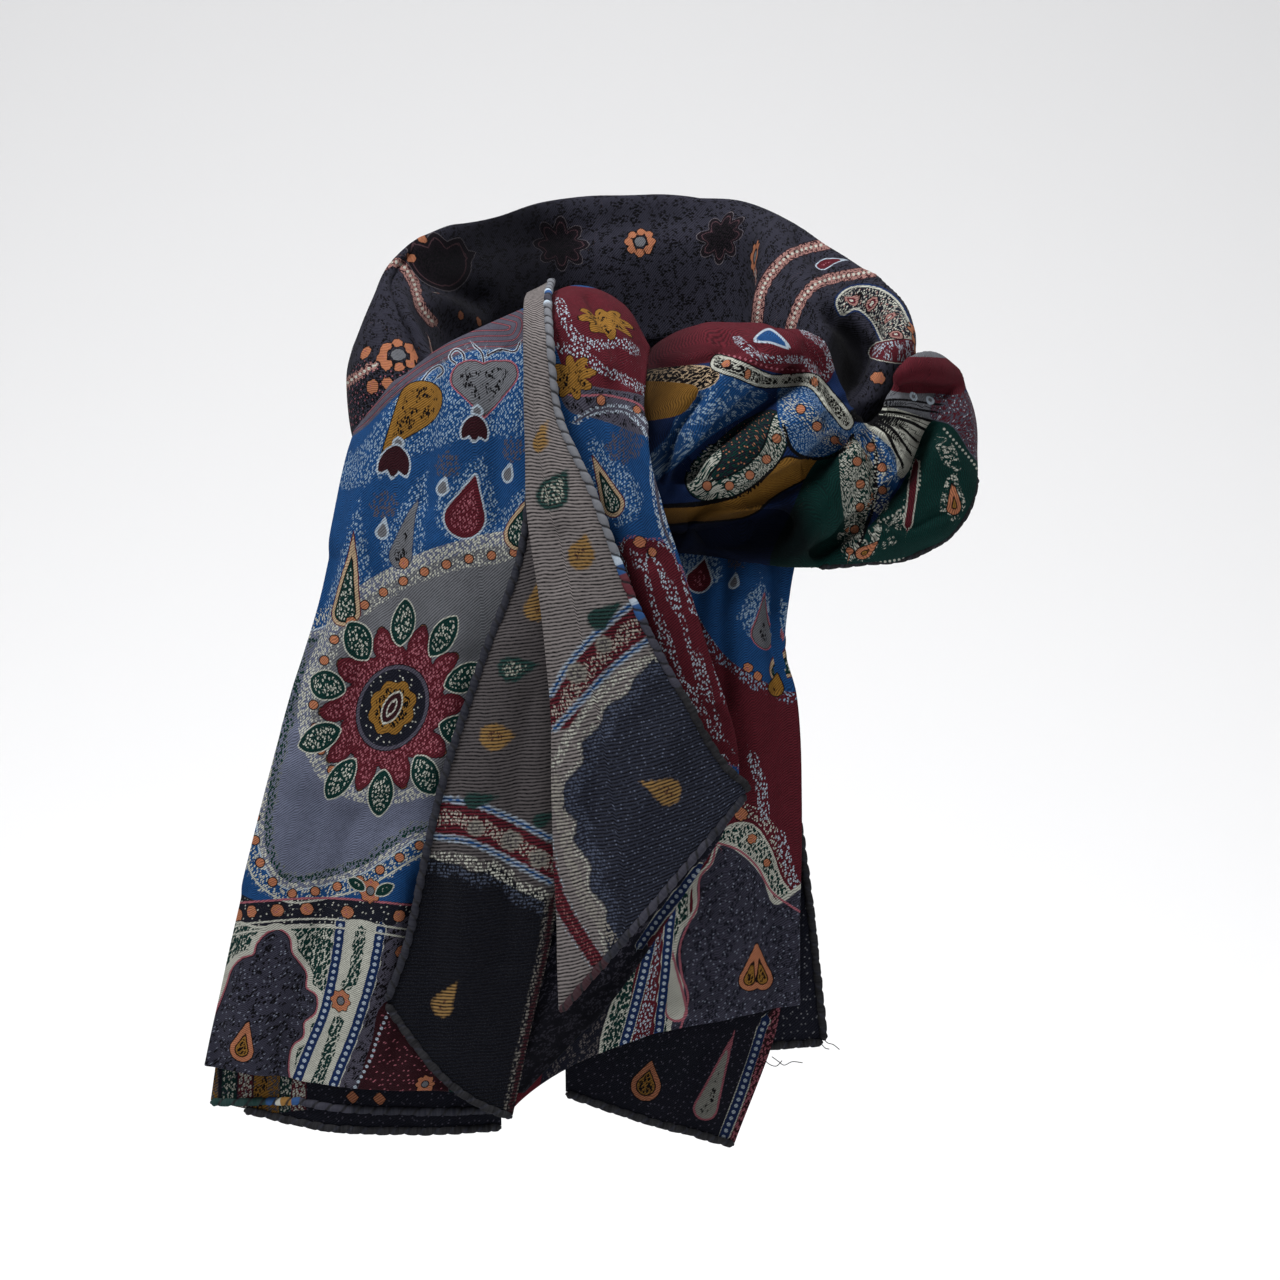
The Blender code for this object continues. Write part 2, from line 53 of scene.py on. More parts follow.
# The camera: the point it looks at, its distance and tilt, and what one pixel of the photograph
# covers at that distance
LOOK_AT = (0.0, 0.0, -156.0)
DISTANCE = 1750.0
TILT = 3.0
PIXEL = 0.52
PIXELS = 1280
SENSOR = 36.0

# The band round the neck, a row for each section across it. turn is in degrees from the nape, to
# the left as seen from the front. Each pair is a distance from the neck's axis and a height:
# the inner hem, the inner face, the fold at the top, the outer face and the outer hem.
LOOP = (
    # turn, in_r, in_z, lip_r, lip_z, rim_r, rim_z, out_r, out_z, hem_r, hem_z
    (-139, 138, -58, 140, -44, 150, -37, 153, -46, 149, -60),
    (-134, 122, -52, 128, -32, 149, -24, 152, -38, 147, -58),
    (-127, 98, -46, 106, -14, 145, -9, 150, -28, 143, -58),
    (-120, 78, -32, 87, 6, 145, 1, 151, -22, 143, -60),
    (-112, 68, -12, 72, 21, 138, 12, 149, -12, 142, -66),
    (-102, 65, -4, 67, 29, 120, 29, 135, 4, 134, -62),
    (-90, 64, -2, 65, 38, 105, 42, 121, 18, 126, -54),
    (-75, 64, 2, 67, 48, 95, 54, 109, 28, 119, -48),
    (-60, 64, 4, 71, 56, 91, 64, 104, 36, 115, -46),
    (-40, 64, 4, 72, 62, 92, 75, 104, 42, 113, -46),
    (-20, 63.5, 4, 68, 60, 84, 79, 98, 44, 108, -48),
    (0, 63.5, 2, 66, 56, 80, 80, 95, 44, 105, -50),
    (20, 66, 2, 70, 54, 84, 79, 98, 44, 108, -50),
    (40, 74, 0, 79, 48, 91, 74, 105, 42, 114, -50),
    (60, 86, -6, 90, 34, 106, 63, 119, 33, 124, -56),
    (75, 95, -14, 101, 26, 121, 54, 134, 25, 133, -66),
    (88, 101, -26, 108, 14, 129, 36, 142, 8, 140, -84),
    (100, 104, -40, 110, 2, 129, 24, 146, -12, 142, -98),
    (110, 106, -54, 112, -10, 126, 9, 148, -32, 142, -108),
    (120, 108, -66, 113, -26, 124, -10.5, 143, -46, 138, -114),
    (138, 108, -78, 112, -44, 118, -30, 129, -56, 126, -114),
)

# Hollows and folds in the band: the turn and the share of the way from the inner to the outer
# hem where each is deepest, its half widths in both, and its rise.
LOOP_FOLDS = (
    # turn, share, half_turn, half_share, rise
    (-124, 0.47, 9, 0.09, -14),
    (-100, 0.42, 18, 0.06, -3),
    (-72, 0.52, 18, 0.06, 3),
    (62, 0.30, 22, 0.07, -4),
    (98, 0.62, 14, 0.07, 3.5),
    (112, 0.80, 16, 0.07, -4),
    (-20, 0.80, 34, 0.06, -3.5),
    (22, 0.70, 30, 0.05, 3.5),
)

# The gathered front of the loop, a row for each section from its left end, under the fall, to
# its right end behind the shoulder. Its top lies back on the chest, and its foot turns under.
# The top dips where the band comes down into the gather.
WRAP = (
    # along, mid_x, mid_y, top_z, bottom_z, top_back, foot_back
    (0, -62, -135.7, -44, -108, 16, 12),
    (1, -22, -141.7, -26, -106, 34, 15),
    (2.4, 6, -145.7, -5, -106, 52, 17),
    (4, 30, -146.7, 3, -108, 68, 19),
    (6, 56, -143.7, 4, -112, 66, 20),
    (7.6, 76, -139.2, 2, -114, 46, 20),
    (8.6, 88, -133.7, -5, -114, 20, 20),
    (9.4, 97, -131.7, -24, -113.5, 9, 20),
    (10.2, 106, -128.7, -42, -113, 8, 20),
    (11, 116, -124.7, -42, -112, 8, 20),
    (12, 129, -118.2, -20, -111, 8, 20),
    (13.4, 146, -105.2, -9, -106, 13, 20),
    (14.6, 160, -87.2, -13, -98, 16, 19),
    (15.8, 168, -63.2, -28, -90, 17, 17),
    (17, 168, -37.7, -38, -85, 13, 13),
    (18, 156, -12.7, -42, -79, 9, 9),
    (19, 137, 13.3, -38, -69, 6, 6),
    (20, 118, 38.3, -34, -58, 4, 4),
)
# Its section is a C that is open to the back: the share of the set back and of the height at
# each point. The first four go by top_back and the rest by foot_back. The hem of the top hangs
# by the drop where the top is deep.
WRAP_SECTION = (
    # back, high
    (1.08, 0.97),
    (1.00, 0.97),
    (0.55, 0.98),
    (0.14, 0.86),
    (0.00, 0.52),
    (0.12, 0.16),
    (0.55, 0.00),
    (1.05, 0.06),
    (1.25, 0.22),
)
WRAP_TOP_POINTS = 4
WRAP_HEM_DROP = 0.21
WRAP_SHALLOW_TOP = 20.0

# Pleats and the hollows between them, all running into the gather, a row for each: three points
# that its line passes through, its half width and its rise. They show on what faces the front,
# and die out towards the shoulder.
PLEAT_EASE = 12
PLEAT_STEPS = 25
PLEAT_FACING = (0.15, 0.55)
PLEAT_END = (14.6, 16.6)
PLEATS = (
    # x1, z1, x2, z2, x3, z3, half_width, rise
    (41, -5, 29, -34, 11, -62, 5.5, -6),
    (80, -12, 44, -20, 22, -60, 9, 6.5),
    (74, -23, 51, -41, 20, -70, 5.5, -8),
    (88, -38, 66, -47, 36, -76, 8, 6),
    (90, -58, 70, -73, 19, -88, 6.5, -7),
    (36, -98, 50, -98, 62, -100, 10, -6),
    (97, -56, 86, -80, 70, -102, 8, 6),
    (106, -56, 101, -80, 90, -104, 6, -4.5),
    (117, -52, 117, -77, 104, -99, 8, 5.5),
    (138, -42, 127, -72, 90, -106, 5.5, -7.5),
    (157, -43, 156, -80, 122, -103, 9, 5),
    (132, -31, 144, -29, 156, -24, 5, -4.5),
)

# The end that falls over the front: the line of its fold over the loop, from left to right, and
# the hem of the short leg inside the loop.
FALL_TOP = (
    # across, x, y, z, back_x, back_y, back_z
    (0.00, -139, -96, -49, -134, -89, -56),
    (0.13, -127, -92, -33, -122, -84, -36),
    (0.27, -108, -87, -16, -104, -76, -13.5),
    (0.42, -82, -84, -1, -72, -55, -38),
    (0.57, -56, -86, 10, -48, -61, -58),
    (0.72, -32, -88, 20, -27, -67, -60),
    (0.86, -11, -92, 14, -12, -71, -16),
    (0.94, -3, -105, 6, -6, -84, 4),
    (1.00, 4, -122, -8, 0, -104, -1),
)
# Cloth over the loop: how far the fold stands above its line, how the short leg bulges where it
# is longer than a short one, where the cloth turns down, and the share of the way down by which
# it has left the line.
FOLD_LIFT = 1.0
LEG_BULGE = 0.12
LEG_SHORT = 20.0
TURN_SHARE = 0.45
TURN_DROP = 0.5
LINE_LEFT_AT = 0.34
# Its two side edges, a row for each section down it, and how far the cloth stands forward of
# the straight line between them.
FALL = (
    # down, left_x, left_y, left_z, right_x, right_y, right_z, belly
    (0.00, -139, -104, -49, 12, -128, -6, 6),
    (0.08, -143.5, -110, -67.5, 8, -152, -40, 6),
    (0.18, -148, -119, -93, 12, -161, -80, 6),
    (0.28, -154, -126, -125, 19, -161, -112, 6),
    (0.38, -162, -130, -156, 31, -158, -152, 6),
    (0.50, -171, -132, -190, 45, -153, -198, 7),
    (0.62, -180, -134, -224, 42, -150, -232, 8),
    (0.75, -190, -134, -264, 18, -148, -272, 9),
    (0.88, -202, -132, -316, -16, -145, -322, 9),
    (1.00, -210, -130, -355, -56, -142, -366, 7),
)
FALL_SAG = 3.0
# Soft folds down the fall: where each runs across it at the top and at the foot.
FOLD_FROM = 0.1
FOLD_FADE = 0.15
FALL_FOLDS = (
    # top_across, foot_across, half_width, rise
    (0.30, 0.16, 0.06, 2.6),
    (0.52, 0.42, 0.07, -2.4),
    (0.80, 0.72, 0.06, -5),
    (0.93, 0.90, 0.05, 4),
)

# The layer folded under the fall.
UNDER_SAG = 6.0
UNDER = (
    # down, left_x, left_y, left_z, right_x, right_y, right_z, belly
    (0.00, -140, -100.7, -84, -88, -112.7, -84, 3),
    (0.15, -148, -110.7, -122, -76, -122.7, -124, 4),
    (0.35, -161, -121.7, -174, -70, -132.7, -190, 5),
    (0.60, -182, -125.7, -250, -70, -136.7, -264, 6),
    (0.85, -203, -124.7, -335, -68, -135.7, -350, 7),
    (1.00, -209, -122.7, -374, -67, -133.7, -384, 7),
)

# The end's other half, turned wrong side out over the fall. Left is its folded edge.
FLAP = (
    # down, left_x, left_y, left_z, right_x, right_y, right_z, belly
    (0.00, -54, -98.1, 19, -44, -92.1, 25, 0.5),
    (0.05, -55, -122.1, 12, -45, -121.1, 15.5, 1),
    (0.10, -55, -140.1, -4, -44, -144.1, -3, 2),
    (0.18, -54, -153.1, -44, -40, -157.1, -38, 4),
    (0.30, -53, -163.1, -84, -23, -170.1, -78, 5),
    (0.43, -47, -167.1, -126, -4, -174.1, -128, 6),
    (0.56, -42, -167.1, -174, 16, -172.1, -168, 7),
    (0.72, -41, -165.1, -226, 38, -168.1, -205, 8),
    (0.86, -39, -161.1, -276, 49, -165.1, -216, 8),
    (1.00, -38, -157.1, -324, 50, -164.1, -220, 8),
)
# The half of it that lies beneath, to the left.
FLAP_UNDER_SAG = 10.0
FLAP_UNDER = (
    # down, left_x, left_y, left_z, right_x, right_y, right_z, belly
    (0.00, -50, -152.8, -66, -40, -156.8, -66, 1),
    (0.12, -56, -157.8, -108, -38, -160.8, -112, 2),
    (0.28, -75, -157.8, -161, -35, -160.8, -160, 3),
    (0.44, -90, -155.8, -206, -34, -158.8, -205, 4),
    (0.60, -101, -152.8, -250, -36, -155.8, -250, 5),
    (0.76, -110, -149.8, -292, -42, -152.8, -290, 5),
    (0.89, -118, -147.8, -315, -52, -150.8, -334, 5),
    (1.00, -121, -146.8, -322, -61, -149.8, -376, 5),
)

# The other end, which hangs straight down behind the fall. Its foot is drawn up, most of all
# at a third of the way across.
TAIL_SAG = -15.0
TAIL_SAG_AT = 0.35
TAIL = (
    # down, left_x, left_y, left_z, right_x, right_y, right_z, belly
    (0.00, -4, -100.5, -74, 76, -96.5, -72, 2),
    (0.10, -8, -106.5, -100, 77, -102.5, -98, 3),
    (0.20, -12, -119.5, -132, 72, -114.5, -126, 5),
    (0.32, -16, -131.5, -168, 69, -124.5, -154, 6),
    (0.44, -22, -136.5, -204, 75, -129.5, -178, 7),
    (0.60, -31, -138.5, -252, 77, -133.5, -226, 8),
    (0.80, -44, -138.5, -314, 76, -134.5, -286, 8),
    (1.00, -64, -136.5, -380, 76, -134.5, -325, 7),
)
# The corner of it that is folded back and hangs lower.
TAIL_CORNER = (
    # down, left_x, left_y, left_z, right_x, right_y, right_z, belly
    (0.00, -22, -115.2, -130, 58, -111.2, -130, 3),
    (0.25, -28, -128.2, -200, 64, -122.2, -190, 4),
    (0.55, -34, -132.2, -290, 68, -126.2, -262, 4),
    (0.80, -36, -131.2, -346, 67, -126.2, -334, 5),
    (1.00, -36, -131.2, -368, 46, -127.2, -394, 5),
)
# The layer behind, whose edge shows to the right.
TAIL_BACK = (
    # down, left_x, left_y, left_z, right_x, right_y, right_z, belly
    (0.00, 4, -97.4, -78, 72, -93.4, -76, 2),
    (0.25, 8, -111.4, -140, 68, -107.4, -140, 2),
    (0.55, 14, -123.4, -230, 75, -119.4, -228, 2),
    (0.80, 24, -124.4, -304, 84, -120.4, -300, 2),
    (1.00, 30, -124.4, -348, 89, -120.4, -345, 2),
)

# What one pixel of the photograph covers on the cloth at the front, and how far the cloth has to
# face the front to take a crease
NEAR_PIXEL = 0.478
CREASE_FACING = (0.1, 0.45)

# The soft waves on every stretch: how many are laid over each other, their lengths, and how much
# they bend
RIPPLES = 7
LONGEST_WAVE = 90.0
SHORTEST_WAVE = 28.0
WAVE_BEND = (0.8, 2.1)

# A folded edge: its turn and how far the cloth comes back behind it
TURN_RADIUS = 0.9
TURN_RETURN = 6.0
TURN_ANGLES = (40, 80, 120, 160, 180)

# The fall's head, which lies over the loop: the front's first row is one of this many, then the
# rows of the head, and the first row that is laid over what lies beneath
GUIDE_ROWS = 30
HEAD_ROWS = 60
HEAD_LAID_FROM = 40

# Laying one layer over another: where the search starts, how far the cloth beneath may turn from
# the front before the gap is no longer widened for it, and how often a push is eased
FAR_FRONT = 400.0
LEAST_FACING = 0.7
PUSH_EASE = 30

# Steps of a smooth curve for each point that it gives, and steps between two corners of a line
CURVE_STEPS = 12
LINE_STEPS = 8

# Lengths down a hanging panel start at this level, and a motif is laid on what faces as its
# middle does, and is no further behind or before it
PANEL_LEVEL = -150.0
FLAT_FACING = 0.25
FLAT_DEPTH = 30.0

# How steeply the distance from a line grows past its reach
STEEP = 8

# Softness of the print's edges, and how ragged its marks are, in millimetres
SOFT_PRINT = 0.28
SOFT_WRONG_SIDE = 1.3
RAGGED_PRINT = 0.5
RAGGED_WRONG_SIDE = 2.2
RAGGED_MARKS = 5.0
RAGGED_SOFT = 1.0
WASH_SOFT = 2.0

# Rows of zigzags: the length and rise of a bend, the rows' pitch and width, how ragged and how
# soft they are. Then a fringe of marks inside an outline: its place, half width and softness.
ZIGZAG_STEP, ZIGZAG_RISE = 5.0, 3.0
ZIGZAG_PITCH, ZIGZAG_WIDTH = 9.0, 4.2
ZIGZAG_RAGGED, ZIGZAG_SOFT = 0.3, 0.8
FRINGE_PLACE, FRINGE_WIDTH, FRINGE_SOFT = 3.0, 4.0, 1.5

# The twill's ribs: the direction across which they repeat, in degrees, and their pitch, then how
# much they wander, how dark their grooves are, and the clouds and the nap over them
RIBS = (52.0, 1.1)
RIBS_WRONG_SIDE = (82.0, 1.7)
RIB_WANDER = 5.0
RIB_SHADE = 0.6
RIB_SHADE_WRONG_SIDE = 0.9
RIB_UNEVEN = (0.55, 0.9)
CLOUDINESS = 0.35
NAP_SIZE = 1.9
NAP_THRESHOLD = (0.40, 0.10)
NAP = 0.05
NAP_WRONG_SIDE = 0.10

# Bumps: the strength and depth on the cloth and on the hems, and the shares of the ribs, the nap
# and the clouds. Then how rough and how shiny both are.
BUMP = (0.55, 0.6)
HEM_BUMP = (0.5, 0.25)
BUMP_SHARES = (-0.35, 0.35, 0.9)
ROUGH = 0.9
SHINE = 0.03
HEM_SHINE = 0.04
SHEEN = 0.01

# The leafy marks are strokes in slanting cells, which lean left or right by a cloud. Their cells'
# scales, turn and unevenness come first, then how wide they are in each texture, how soft, and the
# sizes of the clouds that they lean and gather by. The grains are round.
STROKE_CELLS = (0.70, 0.42)
STROKE_TURN = 32
STROKE_UNEVEN = 0.8
STROKE_WIDTHS = {"marks": 0.31, "leafy": 0.40, "dense": 0.50}
STROKE_SOFT = 0.10
LEAN_CLOUD = (3.4, 0.05)
SPRAY_CLOUD = (5.0, 0.08)
FINE_CLOUD = 2.2
WIDE_CLOUD = 9.0
GRAIN_CELLS = (0.30, 0.30)
GRAIN_TURN = 11
GRAIN_WIDTH = 0.13
GRAIN_SOFT = 0.06

# What a colour as it shows is multiplied by, for the light that falls on it
CLOTH_SHADE = 0.74

# The rolled hems, their uneven and tapered girth, their stitches, how far they lie out of the edge
# and forward of it, their bands of colour, and the stray threads
ROPE_STEP = 0.55
ROPE_SIDES = 16
ROPE_RADIUS = 1.9
ROPE_SWELL = 1.06
ROPE_WAVES = ((0.05, 0.37, 0.0), (0.04, 0.83, 1.0))
END_GIRTH = 0.35
END_LENGTH = 2.0
STITCH_PITCH = 7.0
STITCH_WIDTH = 0.13
STITCH_DEPTH = 0.26
STITCH_LINE = (0.10, 0.10)
STITCH_SHADE = 0.9
HEM_OUT = 0.45
HEM_FORWARD = 0.4
WRAP_HEM_RADIUS = 1.52
WRAP_HEM_STEPS = 80
BAND_WANDER = 0.012
BAND_SOFT = 0.004
HEM_FUZZ = 0.14
THREAD_SIDES = 6
THREAD_RADIUS = 0.22
THREAD_STEPS = 40
THREAD_STEP = 0.5


def track(table, at):
    """The columns of a table at each value of its first column, joined smoothly."""
    rows = np.array(table, float)
    keys, values = rows[:, 0], rows[:, 1:]
    slopes = np.gradient(values, keys, axis=0)
    at = np.asarray(at, float)
    i = np.clip(np.searchsorted(keys, at, side="right") - 1, 0, len(keys) - 2)
    span = (keys[i + 1] - keys[i])[..., None]
    t = (at - keys[i])[..., None] / span
    rise = (3 - 2 * t) * t * t
    return (
        values[i] * (1 - rise)
        + values[i + 1] * rise
        + slopes[i] * span * t * (1 - t) ** 2
        - slopes[i + 1] * span * t * t * (1 - t)
    )


def ease(x, start=0.0, stop=1.0):
    """A smooth step from 0 at the start to 1 at the stop."""
    x = np.clip((x - start) / (stop - start), 0.0, 1.0)
    return x * x * (3 - 2 * x)


def unit(vectors):
    return vectors / np.linalg.norm(vectors, axis=-1, keepdims=True)


def even_line(points, count=None, step=None):
    """A line cut into even steps, and the length of each of its points along it."""
    length = np.concatenate([[0], np.cumsum(np.linalg.norm(np.diff(points, axis=0), axis=1))])
    at = np.linspace(0, length[-1], count or max(4, int(length[-1] / step)))
    return np.column_stack([np.interp(at, length, points[:, k]) for k in range(3)]), at


def even_path(points, count):
    """Each row of guide points joined by a smooth curve, and cut into even steps."""
    steps = np.linalg.norm(np.diff(points, axis=1), axis=2).mean(axis=0)
    keys = np.concatenate([[0.0], np.cumsum(steps)]) / steps.sum()
    fine = np.linspace(0, 1, CURVE_STEPS * count)
    curves = [track(np.column_stack([keys, row]), fine) for row in points]
    return np.array([even_line(curve, count)[0] for curve in curves])


def normals(points):
    """The way out of the cloth's right side at each point."""
    along, across = np.gradient(points, axis=(0, 1))
    return unit(np.cross(across, along))


def blurred(field, times):
    """A field of numbers, each eased towards its neighbours' mean."""
    for _ in range(times):
        wide = np.pad(field, 1, mode="edge")
        mean = (wide[:-2, 1:-1] + wide[2:, 1:-1] + wide[1:-1, :-2] + wide[1:-1, 2:]) / 4
        field = 0.5 * field + 0.5 * mean
    return field


def loop_surface(rows, columns):
    """The band round the neck."""
    turn = np.linspace(LOOP[0][0], LOOP[-1][0], rows)
    section = track(LOOP, turn)
    way = np.radians(turn)
    points = np.empty((rows, 5, 3))
    for k in range(5):
        radius, height = section[:, 2 * k], section[:, 2 * k + 1]
        points[:, k] = np.column_stack([-np.sin(way) * radius, np.cos(way) * radius, height])
    points = even_path(points, columns)
    down = np.linspace(0, 1, columns)[None, :]
    rise = np.zeros(points.shape[:2])
    for at_turn, at_share, half_turn, half_share, height in LOOP_FOLDS:
        off = ((turn[:, None] - at_turn) / half_turn) ** 2 + ((down - at_share) / half_share) ** 2
        rise += height * np.exp(-off)
    return points + normals(points) * rise[..., None]


def wrap_surface(rows, columns):
    """The gathered front of the loop, with its pleats."""
    at = np.linspace(0, WRAP[-1][0], rows)
    x, y, top, bottom, top_back, foot_back = track(WRAP, at).T
    slope = np.gradient(np.column_stack([x, y]), axis=0)
    inward = unit(np.column_stack([-slope[:, 1], slope[:, 0]]))
    hang = WRAP_HEM_DROP * np.clip(top_back / WRAP_SHALLOW_TOP - 1, 0, 1)
    points = np.empty((rows, len(WRAP_SECTION), 3))
    for k, (back, high) in enumerate(WRAP_SECTION):
        set_back = back * (top_back if k < WRAP_TOP_POINTS else foot_back)
        if k == 0:
            high = high - hang
        points[:, k, 0] = x + inward[:, 0] * set_back
        points[:, k, 1] = y + inward[:, 1] * set_back
        points[:, k, 2] = bottom + (top - bottom) * high
    points = even_path(points, columns)
    rise = np.zeros(points.shape[:2])
    step = np.linspace(0, 1, PLEAT_STEPS)[:, None]
    for x1, z1, x2, z2, x3, z3, half_width, height in PLEATS:
        bow = np.array([2 * x2 - (x1 + x3) / 2, 2 * z2 - (z1 + z3) / 2])
        line = np.array([x1, z1]) * (1 - step) ** 2 + 2 * bow * step * (1 - step)
        line = line + np.array([x3, z3]) * step**2
        away = np.hypot(points[:, :, 0, None] - line[:, 0], points[:, :, 2, None] - line[:, 1])
        rise += height * np.exp(-((away.min(axis=2) / half_width) ** 2))
    rise = blurred(rise, PLEAT_EASE)
    facing = np.clip(-normals(points)[:, :, 1], 0, 1)
    front = ease(facing, *PLEAT_FACING) * (1 - ease(at, *PLEAT_END))[:, None]
    return points + normals(points) * (rise * front)[..., None]


def panel_surface(table, rows, columns, sag=0.0, sag_at=0.5):
    """A hanging panel between its two side edges. sag lowers the middle of its foot."""
    down = np.linspace(0, 1, rows)
    across = np.linspace(0, 1, columns)[None, :]
    edges = track(table, down)
    left, right, belly = edges[:, None, :3], edges[:, None, 3:6], edges[:, 6][:, None]
    points = left * (1 - across[..., None]) + right * across[..., None]
    points[:, :, 1] -= belly * np.sin(np.pi * across)
    skew = np.log(0.5) / np.log(sag_at)
    points[:, :, 2] -= sag * np.sin(np.pi * across**skew) * (down**3)[:, None]
    return points


def fold(points, top_across, foot_across, half_width, rise):
    """Brings a soft fold down a panel forward by its rise."""
    rows, columns = points.shape[:2]
    down = np.linspace(0, 1, rows)[:, None]
    across = np.linspace(0, 1, columns)[None, :]
    at = top_across + (foot_across - top_across) * down
    run = ease(down, FOLD_FROM, FOLD_FROM + FOLD_FADE)
    points[:, :, 1] -= rise * np.exp(-(((across - at) / half_width) ** 2)) * run


def fall_surface(rows, columns):
    """The end brought up through the loop: a short leg inside it, the fold, and the long front."""
    across = np.linspace(0, 1, columns)
    top = track(FALL_TOP, across)
    crest, back = top[:, :3], top[:, 3:]
    front = panel_surface(FALL, rows, columns, FALL_SAG)
    for row in FALL_FOLDS:
        fold(front, *row)
    shift = crest - front[0]
    shift[:, 1] = 0
    down = np.linspace(0, 1, rows)
    front += shift[None] * (1 - ease(down, 0.0, LINE_LEFT_AT))[:, None, None]
    over = crest + np.array([0.0, 0.0, FOLD_LIFT])
    reach = np.linalg.norm(back - crest, axis=1)
    inner = (crest + back) / 2
    inner[:, 1] += LEG_BULGE * np.maximum(reach - LEG_SHORT, 0)
    bend = front[0] * TURN_SHARE + crest * (1 - TURN_SHARE) - np.array([0.0, 0.0, TURN_DROP])
    start = round((rows - 1) / (GUIDE_ROWS - 1))
    guides = np.stack([back, inner, over, bend, front[start]], axis=1)
    head = even_path(guides, HEAD_ROWS)[:, :-1]
    return np.concatenate([head.transpose(1, 0, 2), front[start:]])


def tree_of(surfaces):
    """One search tree of some surfaces, for what is laid over them."""
    corners, faces = [], []
    for points in surfaces:
        rows, columns = points.shape[:2]
        start = len(corners)
        corners += [Vector(p) for p in points.reshape(-1, 3)]
        for i in range(rows - 1):
            for j in range(columns - 1):
                a = start + i * columns + j
                faces.append((a, a + columns, a + columns + 1, a + 1))
    return BVHTree.FromPolygons(corners, faces)


def lay_over(points, surfaces, first_row=0):
    """Moves a panel forward where it would come nearer than the gap to what lies behind it."""
    gap = WALL + LAYER_GAP
    tree = tree_of(surfaces)
    push = np.zeros(points.shape[:2])
    for i in range(first_row, points.shape[0]):
        for j in range(points.shape[1]):
            x, y, z = points[i, j]
            hit, facing = tree.ray_cast(Vector((x, -FAR_FRONT, z)), Vector((0.0, 1.0, 0.0)))[:2]
            if hit is not None:
                depth = gap / max(abs(facing.y), LEAST_FACING)
                push[i, j] = max(0.0, y + depth - hit.y)
    least = push.copy()
    for _ in range(PUSH_EASE):
        push = np.maximum(least, blurred(push, 1))
    points[first_row:, :, 1] -= push[first_row:]
    return points


def crease(points, lines, panel=False):
    """Raises or sinks a surface along lines that show on what faces the front."""
    px, py = in_photo(points)
    rise = np.zeros(points.shape[:2])
    for *places, half_width, height in lines:
        away = path_on(px, py, places)[0]
        rise += height * np.exp(-((away / half_width) ** 2))
    out = -normals(points) if panel else normals(points)
    facing = np.clip(-out[:, :, 1], 0, 1)
    return points + out * (rise * ease(facing, *CREASE_FACING))[..., None]


def ripple(points, seed, height):
    """Soft uneven waves all over a stretch, the same on the sides that don't show."""
    draw = np.random.default_rng(seed)
    across, down = lengths(points)
    rise = np.zeros(points.shape[:2])
    for _ in range(RIPPLES):
        way = draw.uniform(0, np.pi)
        long = draw.uniform(SHORTEST_WAVE, LONGEST_WAVE)
        phase = draw.uniform(0, 2 * np.pi)
        turn = (across * np.cos(way) + down * np.sin(way)) / long * 2 * np.pi
        bend = WAVE_BEND[0] * np.sin(down / LONGEST_WAVE * WAVE_BEND[1] + phase)
        rise += np.sin(turn + phase + bend) * long
    rise *= height / (np.abs(rise).max() + 1e-9)
    return points + normals(points) * rise[..., None]


def lengths(points, level=None):
    """How far each point lies across the cloth from its middle, and down it. A hanging panel's
    lengths down it start at a level."""
    rows, columns = points.shape[:2]
    steps = np.linalg.norm(np.diff(points, axis=1), axis=2)
    across = np.concatenate([np.zeros((rows, 1)), np.cumsum(steps, axis=1)], axis=1)
    across = across - across[:, columns // 2, None]
    steps = np.linalg.norm(np.diff(points, axis=0), axis=2)
    down = np.concatenate([np.zeros((1, columns)), np.cumsum(steps, axis=0)])
    if level is None:
        start = np.full(columns, rows // 2)
    else:
        start = np.argmin(np.abs(points[:, :, 2] - level), axis=0)
    return across, down - down[start, np.arange(columns)][None, :]


def turn_under(points, edge):
    """Adds the tight turn and the return of a folded edge: left, right or foot."""
    if edge == "foot":
        return turn_under(points.transpose(1, 0, 2), "right").transpose(1, 0, 2)
    if edge == "left":
        return turn_under(points[:, ::-1], "right")[:, ::-1]
    last = points[:, -1]
    out = unit(last - points[:, -3])
    back = unit(np.array([0.0, 1.0, 0.0]) - out * out[:, 1:2])
    added = []
    for angle in np.radians(TURN_ANGLES):
        added.append(last + (out * np.sin(angle) + back * (1 - np.cos(angle))) * TURN_RADIUS)
    for step in (0.5, 1.0):
        added.append(last - out * TURN_RETURN * step + back * 2 * TURN_RADIUS)
    return np.concatenate([points, np.array(added).transpose(1, 0, 2)], axis=1)


def in_photo(points):
    """Where points show in the photograph's frame, in its pixels."""
    tilt = math.radians(TILT)
    ahead = np.array([0.0, math.cos(tilt), -math.sin(tilt)])
    above = np.array([0.0, math.sin(tilt), math.cos(tilt)])
    off = points - np.array(LOOK_AT)
    scale = DISTANCE / (DISTANCE + off @ ahead) / PIXEL
    return PIXELS / 2 + off[..., 0] * scale, PIXELS / 2 - (off @ above) * scale


